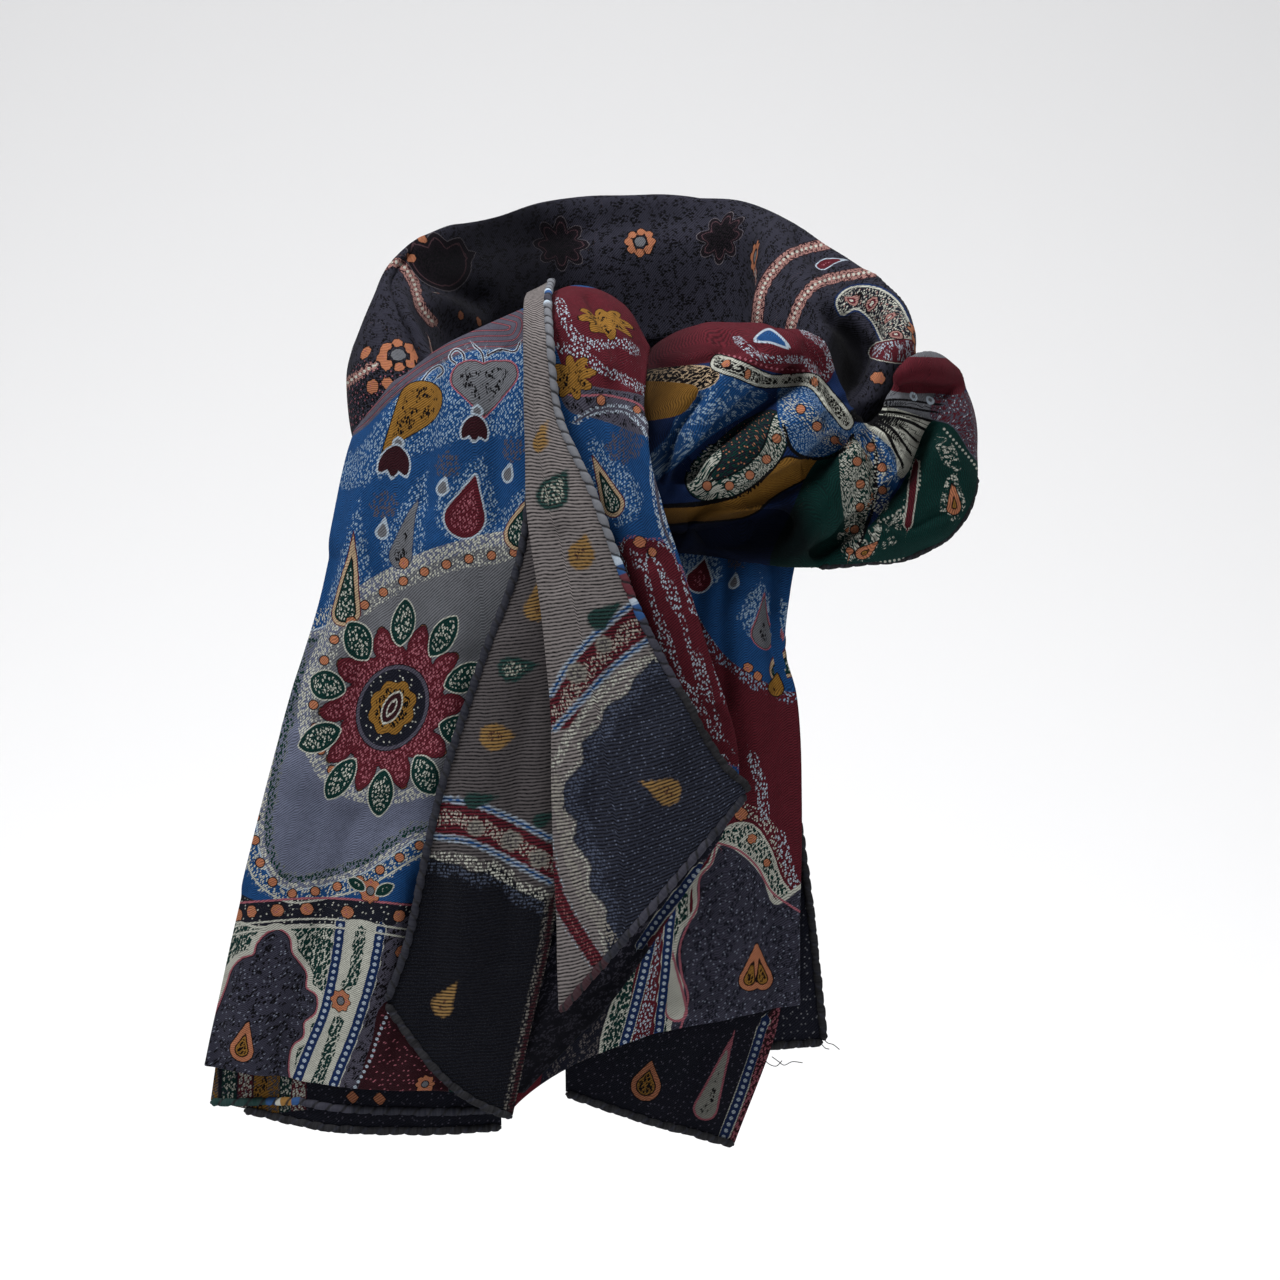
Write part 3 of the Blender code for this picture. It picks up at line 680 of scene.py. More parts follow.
class Cloth:
    """A stretch of the stole: its points, their lengths on the cloth, where they show from the
    front, and the distances that its print is drawn by."""

    def __init__(self, name, points, panel=False):
        self.name = name
        self.points = points
        self.across, self.down = lengths(points, PANEL_LEVEL if panel else None)
        self.out = -normals(points) if panel else normals(points)
        self.fields = {"all": np.zeros(points.shape[:2])}
        self.lines = set()
        self.px, self.py = in_photo(points)

    def field(self, name, values):
        """Keeps the least of the distances given to a field, in millimetres."""
        old = self.fields.get(name)
        self.fields[name] = values if old is None else np.minimum(old, values)

    def line(self, name, away, along, reach):
        """Keeps the least of the distances from the lines of a field, signed by the side that
        they lie on, and the length along the nearest line. Past the reach they grow steeply."""
        away = away * (1 + STEEP * np.clip(np.abs(away) - reach, 0, None))
        run = name + "_run"
        if name in self.fields:
            nearer = np.abs(away) < np.abs(self.fields[name])
            away = np.where(nearer, away, self.fields[name])
            along = np.where(nearer, along, self.fields[run])
        self.lines.add(name)
        self.fields[name] = away
        self.fields[run] = along

    def spot(self, px, py):
        """The vertex that shows at a place of the photograph's frame."""
        far = np.hypot(self.px - px, self.py - py) + np.where(self.out[..., 1] < -0.1, 0.0, 1e4)
        return np.unravel_index(np.argmin(far), far.shape)

    def axes(self, at, angle):
        """Each point's distance to the side and towards the tip of a motif that is laid flat on
        the cloth at a vertex. Its angle is in degrees from straight up, clockwise."""
        out = self.out[at]
        up = unit(np.array([0.0, 0.0, 1.0]) - out * out[2])
        side = np.cross(up, out)
        off = self.points - self.points[at]
        hidden = (self.out @ out < FLAT_FACING) | (np.abs(off @ out) > FLAT_DEPTH)
        way = math.radians(angle)
        to_side = off @ (side * math.cos(way) - up * math.sin(way))
        to_tip = off @ (up * math.cos(way) + side * math.sin(way))
        return np.where(hidden, 1e3, to_side), to_tip


def smooth_line(corners, closed=False):
    """Corners in the photograph's pixels, joined by a smooth line of short steps in millimetres."""
    corners = np.array(corners) * NEAR_PIXEL
    count = len(corners)
    if closed:
        corners = np.concatenate([corners[-2:], corners, corners[:3]])
        keys = np.arange(-2, count + 3)
        fine = np.linspace(0, count, LINE_STEPS * count)
    else:
        keys = np.arange(count)
        fine = np.linspace(0, count - 1, LINE_STEPS * count)
    return track(np.column_stack([keys, corners]), fine)


def near_step(across, down, start, end):
    """How far along a step every point lies, as a share of it, and how far away from it."""
    ds, dt = end - start
    to_side, to_foot = across - start[0], down - start[1]
    share = np.clip((to_side * ds + to_foot * dt) / (ds * ds + dt * dt + 1e-12), 0, 1)
    return share, np.hypot(to_side - ds * share, to_foot - dt * share)


def path_on(px, py, corners):
    """The distance of each point from a line, signed by its side, and the length along the line."""
    line = smooth_line(corners)
    across, down = px * NEAR_PIXEL, py * NEAR_PIXEL
    best = np.full(px.shape, 1e6)
    along = np.zeros(px.shape)
    length = 0.0
    for start, end in zip(line[:-1], line[1:]):
        share, away = near_step(across, down, start, end)
        ds, dt = end - start
        nearer = away < np.abs(best)
        left = ds * (down - start[1]) - dt * (across - start[0]) < 0
        best = np.where(nearer, np.where(left, away, -away), best)
        along = np.where(nearer, length + share * math.hypot(ds, dt), along)
        length += math.hypot(ds, dt)
    return best, along


def patch_on(px, py, corners):
    """The distance of each point from an area's outline, less than 0 inside it."""
    line = smooth_line(corners, closed=True)
    across, down = px * NEAR_PIXEL, py * NEAR_PIXEL
    best = np.full(px.shape, 1e6)
    inside = np.zeros(px.shape, bool)
    for start, end in zip(line, np.roll(line, -1, axis=0)):
        best = np.minimum(best, near_step(across, down, start, end)[1])
        ds, dt = end - start
        between = (start[1] > down) != (end[1] > down)
        cross = start[0] + ds * (down - start[1]) / (dt if abs(dt) > 1e-9 else 1e-9)
        inside ^= between & (across < cross)
    return np.where(inside, -best, best)


def drop_shape(side, tip, length, width):
    """A drop with its point at the tip, about its middle."""
    round_part = width / 2
    tip = tip + length / 2 - round_part
    apex = max(length - round_part, round_part * 1.05)
    sine = round_part / apex
    cosine = math.sqrt(1 - sine * sine)
    side = np.abs(side)
    flank = side * cosine + tip * sine - round_part
    on_flank = tip * cosine - side * sine > 0
    return np.where(on_flank, flank, np.hypot(side, tip) - round_part)


def leaf_shape(side, tip, length, width):
    """A lens with a point at both ends."""
    half_length, half_width = length / 2, width / 2
    radius = (half_length**2 + half_width**2) / (2 * half_width)
    return np.hypot(np.abs(side) + radius - half_width, tip) - radius


def spread_shapes(side, tip, ways, shape, length, width):
    """Like shapes that share a point and spread from it."""
    near = []
    for way in ways:
        s = side * math.cos(way) + (tip - length / 2) * math.sin(way)
        t = (tip - length / 2) * math.cos(way) - side * math.sin(way)
        near.append(shape(s, t + length / 2, length, width))
    return np.min(near, axis=0)


def heart_shape(side, tip, length, width):
    """Two drops that share their point."""
    lobe = width * 0.3
    lean = math.atan2(width / 2 - lobe, length - lobe)
    return spread_shapes(side, tip, (lean, -lean), drop_shape, length, lobe * 2)


def bud_shape(side, tip, length, width):
    """A bud of three leaves that opens away from the tip."""
    return spread_shapes(side, tip, np.radians((-26, 0, 26)), leaf_shape, length, width * 0.42)


def bloom_shape(side, tip, length, width, petals=8):
    """A round flower with scalloped edges. width is the share that the scallops take."""
    reach = np.hypot(side, tip)
    way = np.arctan2(side, tip)
    return reach - length / 2 * (1 - width + width * np.abs(np.cos(way * petals / 2)))


SHAPES = {
    "drop": drop_shape,
    "heart": heart_shape,
    "leaf": leaf_shape,
    "bloom": bloom_shape,
    "bud": bud_shape,
}

# An orange motif over the first length has an eye, and one over the second has round petals.
# Their sizes are shares of its length.
EYE_FROM, PETALS_FROM = 9, 14
EYE_SHARE, PETAL_PLACE, PETAL_SHARE = 0.17, 0.35, 0.125


def place_motif(cloth, at, field, shape, length, width, angle):
    side, tip = cloth.axes(at, angle)
    if field == "orange" and length > EYE_FROM:
        cloth.field("orange_eye", np.hypot(side, tip) - length * EYE_SHARE)
    if field == "orange" and length > PETALS_FROM:
        out = length * PETAL_PLACE
        for way in np.arange(8) * math.pi / 4:
            petal = np.hypot(side - out * math.sin(way), tip - out * math.cos(way))
            cloth.field("orange", petal - length * PETAL_SHARE)
        return
    cloth.field(field, SHAPES[shape](side, tip, length, width))


class Socket:
    """A number in a material, which adds and multiplies as a number does."""

    def __init__(self, shade, link):
        self.shade = shade
        self.link = link

    def join(self, operation, *others, clamp=False):
        settings = {"operation": operation, "use_clamp": clamp}
        return self.shade.node("ShaderNodeMath", settings, self, *others)

    def __add__(self, other):
        return self.join("ADD", other)

    def __sub__(self, other):
        return self.join("SUBTRACT", other)

    def __rsub__(self, other):
        return self.shade.number(other).join("SUBTRACT", self)

    def __mul__(self, other):
        return self.join("MULTIPLY", other)

    __radd__ = __add__
    __rmul__ = __mul__

    def clipped(self):
        return self.join("ADD", 0.0, clamp=True)


class Shade:
    """One piece's material, and the few calls that build it."""

    def __init__(self, name, fields=()):
        self.material = bpy.data.materials.new(name)
        self.material.use_nodes = True
        self.tree = self.material.node_tree
        self.surface = self.tree.nodes["Principled BSDF"]
        self.fields = list(fields)
        self.carried = {}

    def node(self, kind, settings, *values, out=0, **named):
        node = self.tree.nodes.new(kind)
        for key, value in settings.items():
            setattr(node, key, value)
        for place, value in [*enumerate(values), *named.items()]:
            if value is None:
                continue
            socket = self.find(node, place)
            if isinstance(value, Socket):
                self.tree.links.new(value.link, socket)
            else:
                socket.default_value = value
        return Socket(self, node.outputs[out])

    def find(self, node, place):
        if isinstance(place, int):
            return node.inputs[place]
        return next(s for s in node.inputs if s.identifier == place or s.name == place)

    def number(self, value):
        return self.node("ShaderNodeMath", {"operation": "ADD"}, value, 0.0)

    def mix(self, share, one, other):
        settings = {"data_type": "RGBA"}
        return self.node(
            "ShaderNodeMix", settings, out=2, Factor_Float=share, A_Color=one, B_Color=other
        )

    def split(self, vector):
        parts = self.node("ShaderNodeSeparateXYZ", {}, vector).link.node
        return [Socket(self, output) for output in parts.outputs]

    def noise(self, place, scale, detail):
        settings = {"noise_dimensions": "2D"}
        return self.node("ShaderNodeTexNoise", settings, place, Scale=scale, Detail=detail)

    def field(self, name):
        """A distance that the cloth's points carry."""
        group, part = divmod(self.fields.index(name), 3)
        if group not in self.carried:
            read = self.node("ShaderNodeAttribute", {"attribute_name": f"print_{group}"}, out=1)
            self.carried[group] = self.split(read)
        return self.carried[group][part]

    def within(self, distance, edge, soft):
        """1 where the distance is under the edge, and 0 outside it."""
        return distance.join("MULTIPLY_ADD", -1 / soft, edge / soft + 0.5, clamp=True)

    def finish(self, tint, height, strength, depth, shine):
        """Joins the colour and a bump of some depth in millimetres to the surface."""
        values = {"Strength": strength, "Distance": depth * METRES, "Height": height}
        bump = self.node("ShaderNodeBump", {}, **values)
        for name, socket in (("Base Color", tint), ("Normal", bump)):
            self.tree.links.new(socket.link, self.surface.inputs[name])
        self.set({"Roughness": ROUGH, "Specular IOR Level": shine})
        return self.material

    def set(self, values):
        for name, value in values.items():
            self.surface.inputs[name].default_value = value


def colour(red, green, blue):
    """A colour of the cloth from its values of 0 to 255 as it shows."""
    shown = [((v / 255 + 0.055) / 1.055) ** 2.4 for v in (red, green, blue)]
    return (*[v * CLOTH_SHADE for v in shown], 1.0)


BLUE = colour(30, 76, 130)
DEEP_BLUE = colour(24, 46, 90)
PALE_BLUE = colour(146, 170, 194)
FIELD_BLUE = colour(110, 116, 138)
DUSK = colour(60, 60, 74)
CHARCOAL = colour(50, 50, 62)
NAVY = colour(27, 29, 40)
BLACK = colour(9, 9, 12)
GREY = colour(112, 114, 120)
VIOLET_GREY = colour(84, 82, 96)
SPECK = colour(120, 126, 142)
TAUPE = colour(138, 131, 130)
# DARK_TAUPE is print on some stretches; as the ground of the half beneath the flap it is painted shade,
# for the flap's shadow
DARK_TAUPE = colour(92, 87, 88)
WHITE = colour(180, 194, 208)
CREAM = colour(196, 197, 186)
BEIGE = colour(190, 165, 135)
MAROON = colour(92, 30, 40)
DARK_MAROON = colour(52, 22, 28)
PINK = colour(168, 98, 110)
ROSE = colour(166, 124, 118)
ORANGE = colour(186, 120, 88)
OCHRE = colour(150, 108, 46)
GREEN = colour(10, 50, 46)
NAP_GREY = colour(120, 118, 122)
HEM_GREY = colour(150, 150, 156)

# The same colours as they show through on the wrong side of the cloth
FADED_GREEN = colour(38, 66, 62)
FADED_STONE = colour(178, 168, 158)
FADED_ROSETTE = colour(150, 146, 138)
FADED_MARK = colour(96, 90, 92)

# How a motif or a trim is coloured, from its outline inwards. Each coat has the distance from the
# outline under which it shows, its colour, and where it doesn't cover, its texture.
FINISHES = {
    "maroon": ((0.9, WHITE), (0, MAROON), (-2.6, PINK, "marks")),
    "green": ((0.5, MAROON), (0, BEIGE), (-1.6, BLACK), (-2.1, GREEN), (-2.6, CREAM, "marks")),
    "leaf": ((0.6, CREAM), (0, GREEN), (-1.6, CREAM, "marks")),
    "grey": ((0.8, PINK), (0.1, BLACK), (-0.2, GREY), (-3.2, BLACK, "sprig")),
    "slate": ((0.4, DEEP_BLUE), (0, GREY), (-2.8, BLACK, "sprig")),
    "ochre": ((0.5, BLACK), (0, OCHRE), (-2.6, BLACK, "sprig")),
    "small": ((0.6, WHITE), (-0.6, GREY)),
    "orange": ((0.45, BLACK), (0, ORANGE), (-1, PINK, "grains")),
    "orange_eye": ((0.5, BLACK), (0, GREY)),
    "roll_bloom": ((0.9, BLACK), (0.3, ROSE), (-1, MAROON), (-2.4, CREAM)),
    "tulip": ((0.9, WHITE), (0, DARK_MAROON)),
    "heart": ((0.5, BLACK), (0, ORANGE), (-2.2, BLACK), (-2.8, OCHRE), (-3.4, BLACK, "leafy")),
    "petals": ((0.3, BLACK), (0, MAROON), (-1.6, PINK, "marks")),
    "eye": ((0.4, BLACK), (0, VIOLET_GREY), (-1.7, NAVY), (-2.2, CREAM, "grains")),
    "eye_gold": ((0.3, BLACK), (0, OCHRE), (-3, BLACK, "leafy")),
    "core": ((0.8, CREAM), (0, DARK_MAROON)),
    "squares": (
        (4.4, CREAM, "marks"),
        (2.2, BLACK, "beads", 11, 2.5),
        (2.2, ORANGE, "beads", 11, 2),
    ),
    "beaded": ((2.9, CREAM), (2.3, DEEP_BLUE), (0, WHITE, "beads", 3.2, 0.95)),
    "cream_line": ((0.45, CREAM),),
    "pink_line": ((0.5, PINK),),
    # On the wrong side of the cloth, where the print shows through
    "faded_ochre": ((0, colour(150, 118, 72)), (-3.4, colour(96, 66, 50), "sprig")),
    "faded_green": ((0, colour(36, 66, 62)), (-2.3, colour(172, 172, 160), "leafy")),
    "faded_blot": ((0, FADED_GREEN),),
    "blue_line": ((1.6, WHITE), (0.7, BLUE)),
    "rosettes": ((0.3, FADED_ROSETTE), (-1.2, FADED_MARK, "leafy")),
}


def finished(*fields):
    return [(name, *FINISHES[name]) for name in fields]


def textures_of(shade):
    """The small repeats of the print, each as a share of 0 to 1 over the cloth, and the clouds."""
    def spread(scale_x, scale_y, turn):
        way = (0.0, 0.0, math.radians(turn))
        scale = (scale_x, scale_y, 1.0)
        settings = {"vector_type": "POINT"}
        return shade.node("ShaderNodeMapping", settings, shade.place, None, way, scale)

    def cells(scale_x, scale_y, turn, random):
        settings = {"voronoi_dimensions": "2D", "feature": "F1"}
        vector = spread(scale_x, scale_y, turn)
        return shade.node("ShaderNodeTexVoronoi", settings, vector, Scale=1.0, Randomness=random)

    def cloud(size):
        return shade.noise(spread(1 / size, 1 / size, 0), 1.0, 2.0)

    def gathered(size, soft):
        return shade.within(cloud(size), 0.5, soft)

    left = cells(*STROKE_CELLS, STROKE_TURN, STROKE_UNEVEN)
    right = cells(*STROKE_CELLS, -STROKE_TURN, STROKE_UNEVEN)
    leaning = gathered(*LEAN_CLOUD)
    strokes = left * leaning + right * (1.0 - leaning)
    grains = cells(*GRAIN_CELLS, GRAIN_TURN, 1.0)
    textures = {"grains": shade.within(grains, GRAIN_WIDTH, GRAIN_SOFT)}
    for name, width in STROKE_WIDTHS.items():
        textures[name] = shade.within(strokes, width, STROKE_SOFT)
    textures["sprig"] = textures["leafy"] * gathered(*SPRAY_CLOUD)
    return textures, cloud(FINE_CLOUD), cloud(WIDE_CLOUD)


def coat_mask(shade, textures, soft, ragged, name, distance, edge, kind, *values):
    """Where a coat of the print shows, as a share of 0 to 1."""
    if kind == "rim":
        return shade.within((distance - edge).join("ABSOLUTE"), values[0], soft)
    if kind == "wash":
        return shade.within(distance + ragged, edge, WASH_SOFT)
    if kind.startswith("ragged"):
        texture = "leafy" if kind == "ragged_leafy" else "marks"
        return shade.within(distance + ragged, edge, RAGGED_SOFT) * textures[texture]
    if kind == "beads":
        period, radius = values
        step = ((shade.field(name + "_run") * (1 / period)).join("FRACT") - 0.5) * period
        reach = (step * step + distance * distance).join("SQRT")
        return shade.within(reach, radius, soft)
    inside = shade.within(distance, edge, soft)
    if kind == "lines":
        pitch, width = values
        step = (distance * (1 / pitch)).join("FRACT") - 0.5
        return shade.within(step.join("ABSOLUTE") * pitch, width / 2, soft) * inside
    if kind == "zigzag":
        bend = (shade.across * (1 / ZIGZAG_STEP)).join("PINGPONG", 1.0) * ZIGZAG_RISE
        place = (distance + bend + ragged * ZIGZAG_RAGGED) * (1 / ZIGZAG_PITCH)
        rows = place.join("FRACT") * ZIGZAG_PITCH
        return shade.within(rows, ZIGZAG_WIDTH, ZIGZAG_SOFT) * textures["marks"] * inside
    if kind == "edge_fringe":
        off = (distance + FRINGE_PLACE + ragged).join("ABSOLUTE")
        band = shade.within(off, FRINGE_WIDTH, FRINGE_SOFT)
        return band * textures["leafy"] * inside
    return inside * textures[kind]


def cloth_material(cloth, ground, layers, wrong_side):
    """The print in its order, the twill's ribs and the nap over it, then painted shade."""
    shade = Shade(cloth.name, cloth.fields)
    shade.place = shade.node("ShaderNodeUVMap", {"uv_map": "cloth"})
    shade.across, shade.down = shade.split(shade.place)[:2]
    textures, fine, wide = textures_of(shade)
    soft = SOFT_WRONG_SIDE if wrong_side else SOFT_PRINT
    blur = (fine - 0.5) * (RAGGED_WRONG_SIDE if wrong_side else RAGGED_PRINT)
    ragged = (fine + wide - 1.0) * RAGGED_MARKS
    tint = ground
    # Painted shade: black laid over the finished cloth wherever a coat's texture is soft
    painted_shades = []
    for name, *coats in layers:
        if name not in cloth.fields:
            continue
        distance = shade.field(name)
        if name in cloth.lines:
            distance = distance.join("ABSOLUTE")
        for edge, paint, *texture in coats:
            if not texture:
                mask = shade.within(distance + blur, edge, soft)
            elif texture[0] == "soft":
                painted_shades.append(shade.within(distance, edge, texture[1]) * texture[2])
                continue
            else:
                mask = coat_mask(shade, textures, soft, ragged, name, distance, edge, *texture)
            tint = shade.mix(mask, tint, paint)
    rib_turn, rib_pitch = RIBS_WRONG_SIDE if wrong_side else RIBS
    way = math.radians(rib_turn)
    line = shade.across * (math.cos(way) * 2 * math.pi / rib_pitch)
    line = line + shade.down * (math.sin(way) * 2 * math.pi / rib_pitch)
    rib = (line + (wide - 0.5) * RIB_WANDER).join("SINE") * 0.5 + 0.5
    depth = RIB_SHADE_WRONG_SIDE if wrong_side else RIB_SHADE
    least, uneven = RIB_UNEVEN
    light = (1.0 - rib * depth * (least + fine * uneven)) * (1.0 + (wide - 0.5) * CLOUDINESS)
    dark = shade.mix(1.0 - light.clipped(), tint, BLACK)
    nap = shade.noise(shade.place, NAP_SIZE, 3.0)
    fuzz = shade.within(1.0 - nap, *NAP_THRESHOLD) * (NAP_WRONG_SIDE if wrong_side else NAP)
    final = shade.mix(fuzz, dark, NAP_GREY)
    # The painted shade goes last, over the ribs and the nap, so that shaded places go near black
    for hollow in painted_shades:
        final = shade.mix(hollow, final, BLACK)
    shade.set({"Base Color": ground, "Sheen Weight": SHEEN, "Sheen Roughness": 0.5})
    height = rib * BUMP_SHARES[0] + nap * BUMP_SHARES[1] + wide * BUMP_SHARES[2]
    return shade.finish(final, height, *BUMP, SHINE)


def rope_material(name, bands, thread):
    """bands gives the share of the hem's length at which each colour starts, and its length."""
    shade = Shade(name)
    place = shade.node("ShaderNodeUVMap", {"uv_map": "hem"})
    along, round_it = shade.split(place)[:2]
    share = along * (1 / bands[-1][0])
    tint = bands[0][1]
    wander = shade.noise(place, 0.9, 2.0)
    for start, paint in bands[1:-1]:
        past = 1.0 - shade.within(share + (wander - 0.5) * BAND_WANDER, start, BAND_SOFT)
        tint = shade.mix(past, tint, paint)
    turn = (along * (1 / STITCH_PITCH) + round_it).join("FRACT") - 0.5
    groove = shade.within(turn.join("ABSOLUTE"), *STITCH_LINE)
    tint = shade.mix(groove * STITCH_SHADE, tint, thread)
    tint = shade.mix(wander * HEM_FUZZ, tint, HEM_GREY)
    return shade.finish(tint, shade.noise(place, 3.0, 3.0), *HEM_BUMP, HEM_SHINE)


def plain_material(name, paint, roughness):
    shade = Shade(name)
    shade.set({"Base Color": paint, "Roughness": roughness})
    return shade.material


def placed(name, mesh, material):
    """The object of a mesh, in the scene and with its material."""
    mesh.materials.append(material)
    mesh.shade_smooth()
    piece = bpy.data.objects.new(name, mesh)
    bpy.context.scene.collection.objects.link(piece)
    return piece


def grid_mesh(name, points):
    """A mesh of a grid of points, and the row and column of each of its vertices."""
    rows, columns = points.shape[:2]
    body = bmesh.new()
    bmesh.ops.create_grid(body, x_segments=rows - 1, y_segments=columns - 1, size=1.0)
    mesh = bpy.data.meshes.new(name)
    body.to_mesh(mesh)
    body.free()
    flat = np.empty(len(mesh.vertices) * 3, np.float32)
    mesh.vertices.foreach_get("co", flat)
    flat = flat.reshape(-1, 3)
    i = np.rint((flat[:, 0] + 1) / 2 * (rows - 1)).astype(int)
    j = np.rint((flat[:, 1] + 1) / 2 * (columns - 1)).astype(int)
    place = (points[i, j] - np.array(NAPE)) * METRES
    mesh.vertices.foreach_set("co", place.astype(np.float32).ravel())
    mesh.update()
    return mesh, i, j


def set_uv(mesh, name, across, down):
    """Two numbers for each vertex."""
    values = np.stack([across, down], axis=1)
    layer = mesh.uv_layers.new(name=name)
    corner = np.empty(len(mesh.loops), np.int32)
    mesh.loops.foreach_get("vertex_index", corner)
    layer.data.foreach_set("uv", values[corner].astype(np.float32).ravel())


def cloth_piece(cloth, material):
    mesh, i, j = grid_mesh(cloth.name + "_cloth", cloth.points)
    set_uv(mesh, "cloth", cloth.across[i, j], cloth.down[i, j])
    values = [np.clip(field, -400, 400)[i, j] for field in cloth.fields.values()]
    values += [np.zeros(len(i))] * (-len(values) % 3)
    for place in range(0, len(values), 3):
        layer = mesh.attributes.new(f"print_{place // 3}", "FLOAT_VECTOR", "POINT")
        vectors = np.stack(values[place : place + 3], axis=1)
        layer.data.foreach_set("vector", vectors.astype(np.float32).ravel())
    piece = placed(cloth.name + "_cloth", mesh, material)
    wall = piece.modifiers.new("cloth", "SOLIDIFY")
    wall.thickness = CLOTH * METRES
    wall.offset = 0.0
    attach(piece, "root")
    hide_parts(cloth.name)
    return piece


def smooth_points(points, count):
    """Some points in a row joined smoothly."""
    keys = np.arange(len(points))
    return track(np.column_stack([keys, points]), np.linspace(0, keys[-1], count))


def tube(name, line, at, outward, girth, material):
    """A closed tube round a line. girth holds its radius at each step and on each side, and the
    first side lies outward."""
    ahead = unit(np.gradient(line, axis=0))
    out = unit(outward - ahead * (outward * ahead).sum(axis=1, keepdims=True))
    side = np.cross(ahead, out)
    round_it = np.linspace(0, 1, girth.shape[1])
    way = round_it * 2 * np.pi
    ring = out[:, None] * np.cos(way)[None, :, None] + side[:, None] * np.sin(way)[None, :, None]
    mesh, i, j = grid_mesh(name, line[:, None] + ring * girth[..., None])
    set_uv(mesh, "hem", at[i], round_it[j])
    body = bmesh.new()
    body.from_mesh(mesh)
    bmesh.ops.remove_doubles(body, verts=body.verts, dist=1e-6)
    open_edges = [edge for edge in body.edges if edge.is_boundary]
    bmesh.ops.holes_fill(body, edges=open_edges, sides=0)
    bmesh.ops.recalc_face_normals(body, faces=body.faces)
    body.to_mesh(mesh)
    body.free()
    piece = placed(name, mesh, material)
    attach(piece, "root")
    return piece


def rope(name, line, outward, radius, bands, thread):
    """A rolled hem, whipped down with slanted stitches, along a line of points."""
    line, at = even_line(line, step=ROPE_STEP)
    steps = np.linspace(0, at[-1], len(outward))
    outward = np.column_stack([np.interp(at, steps, outward[:, k]) for k in range(3)])
    turn = at[:, None] / STITCH_PITCH + np.linspace(0, 1, ROPE_SIDES + 1)
    off = turn - np.floor(turn) - 0.5
    girth = radius * (ROPE_SWELL - STITCH_DEPTH * np.exp(-((off / STITCH_WIDTH) ** 2)))
    uneven = 1 + sum(size * np.sin(at * rate + phase) for size, rate, phase in ROPE_WAVES)
    taper = END_GIRTH + (1 - END_GIRTH) * ease(np.minimum(at, at[-1] - at), 0.0, END_LENGTH)
    girth *= (uneven * taper)[:, None]
    material = rope_material(name, [*bands, (at[-1], None)], thread)
    return tube(name, line, at, outward, girth, material)


def stray_thread(name, points):
    """A single loose thread along a line of points."""
    line, at = even_line(smooth_points(points, THREAD_STEPS), step=THREAD_STEP)
    outward = np.cross(np.gradient(line, axis=0), [0.0, 1.0, 0.0])
    girth = np.full((len(line), THREAD_SIDES + 1), THREAD_RADIUS)
    return tube(name, line, at, outward, girth, plain_material(name, BLACK, 0.8))


def turned(side, tip, degrees, reach):
    """The same place in axes that are turned clockwise and moved out along the new tip."""
    way = math.radians(degrees)
    new_side = side * math.cos(way) - tip * math.sin(way)
    new_tip = side * math.sin(way) + tip * math.cos(way)
    return new_side, new_tip - reach


def big_flower(cloth, px, py, angle, stretch):
    """A round flower in rings: leaves, petals, a dotted ring, an eye and its core."""
    side, tip = cloth.axes(cloth.spot(px, py), angle)
    side, tip = side * math.sqrt(stretch), tip / math.sqrt(stretch)
    for way in range(0, 360, 36):
        cloth.field("leaf", leaf_shape(*turned(side, tip, way + 10, 38.0), 21.0, 12.5))
        cloth.field("orange", np.hypot(*turned(side, tip, way + 28, 36.0)) - 2.2)
        cloth.field("petals", leaf_shape(*turned(side, tip, way + 28, 30.0), 16.0, 10.0))
    cloth.field("petals", bloom_shape(side, tip, 60, 0.16, 10))
    cloth.field("eye", np.hypot(side, tip) - 19.0)
    cloth.field("eye_gold", bloom_shape(side, tip, 25, 0.16))
    cloth.field("core", leaf_shape(side, tip, 15, 8.5))


# The print of each stretch. Its areas and trims are a field and the corners of an outline or a
# line, as they show in the photograph's pixels. Its motifs are a field and a shape, and for each
# place x, y, the length, the width and the angle, in millimetres and degrees; a bloom's width is
# the share that its scallops take. Its coats are in the order in which they are laid: a field and
# then, as in FINISHES, each distance, colour and texture.

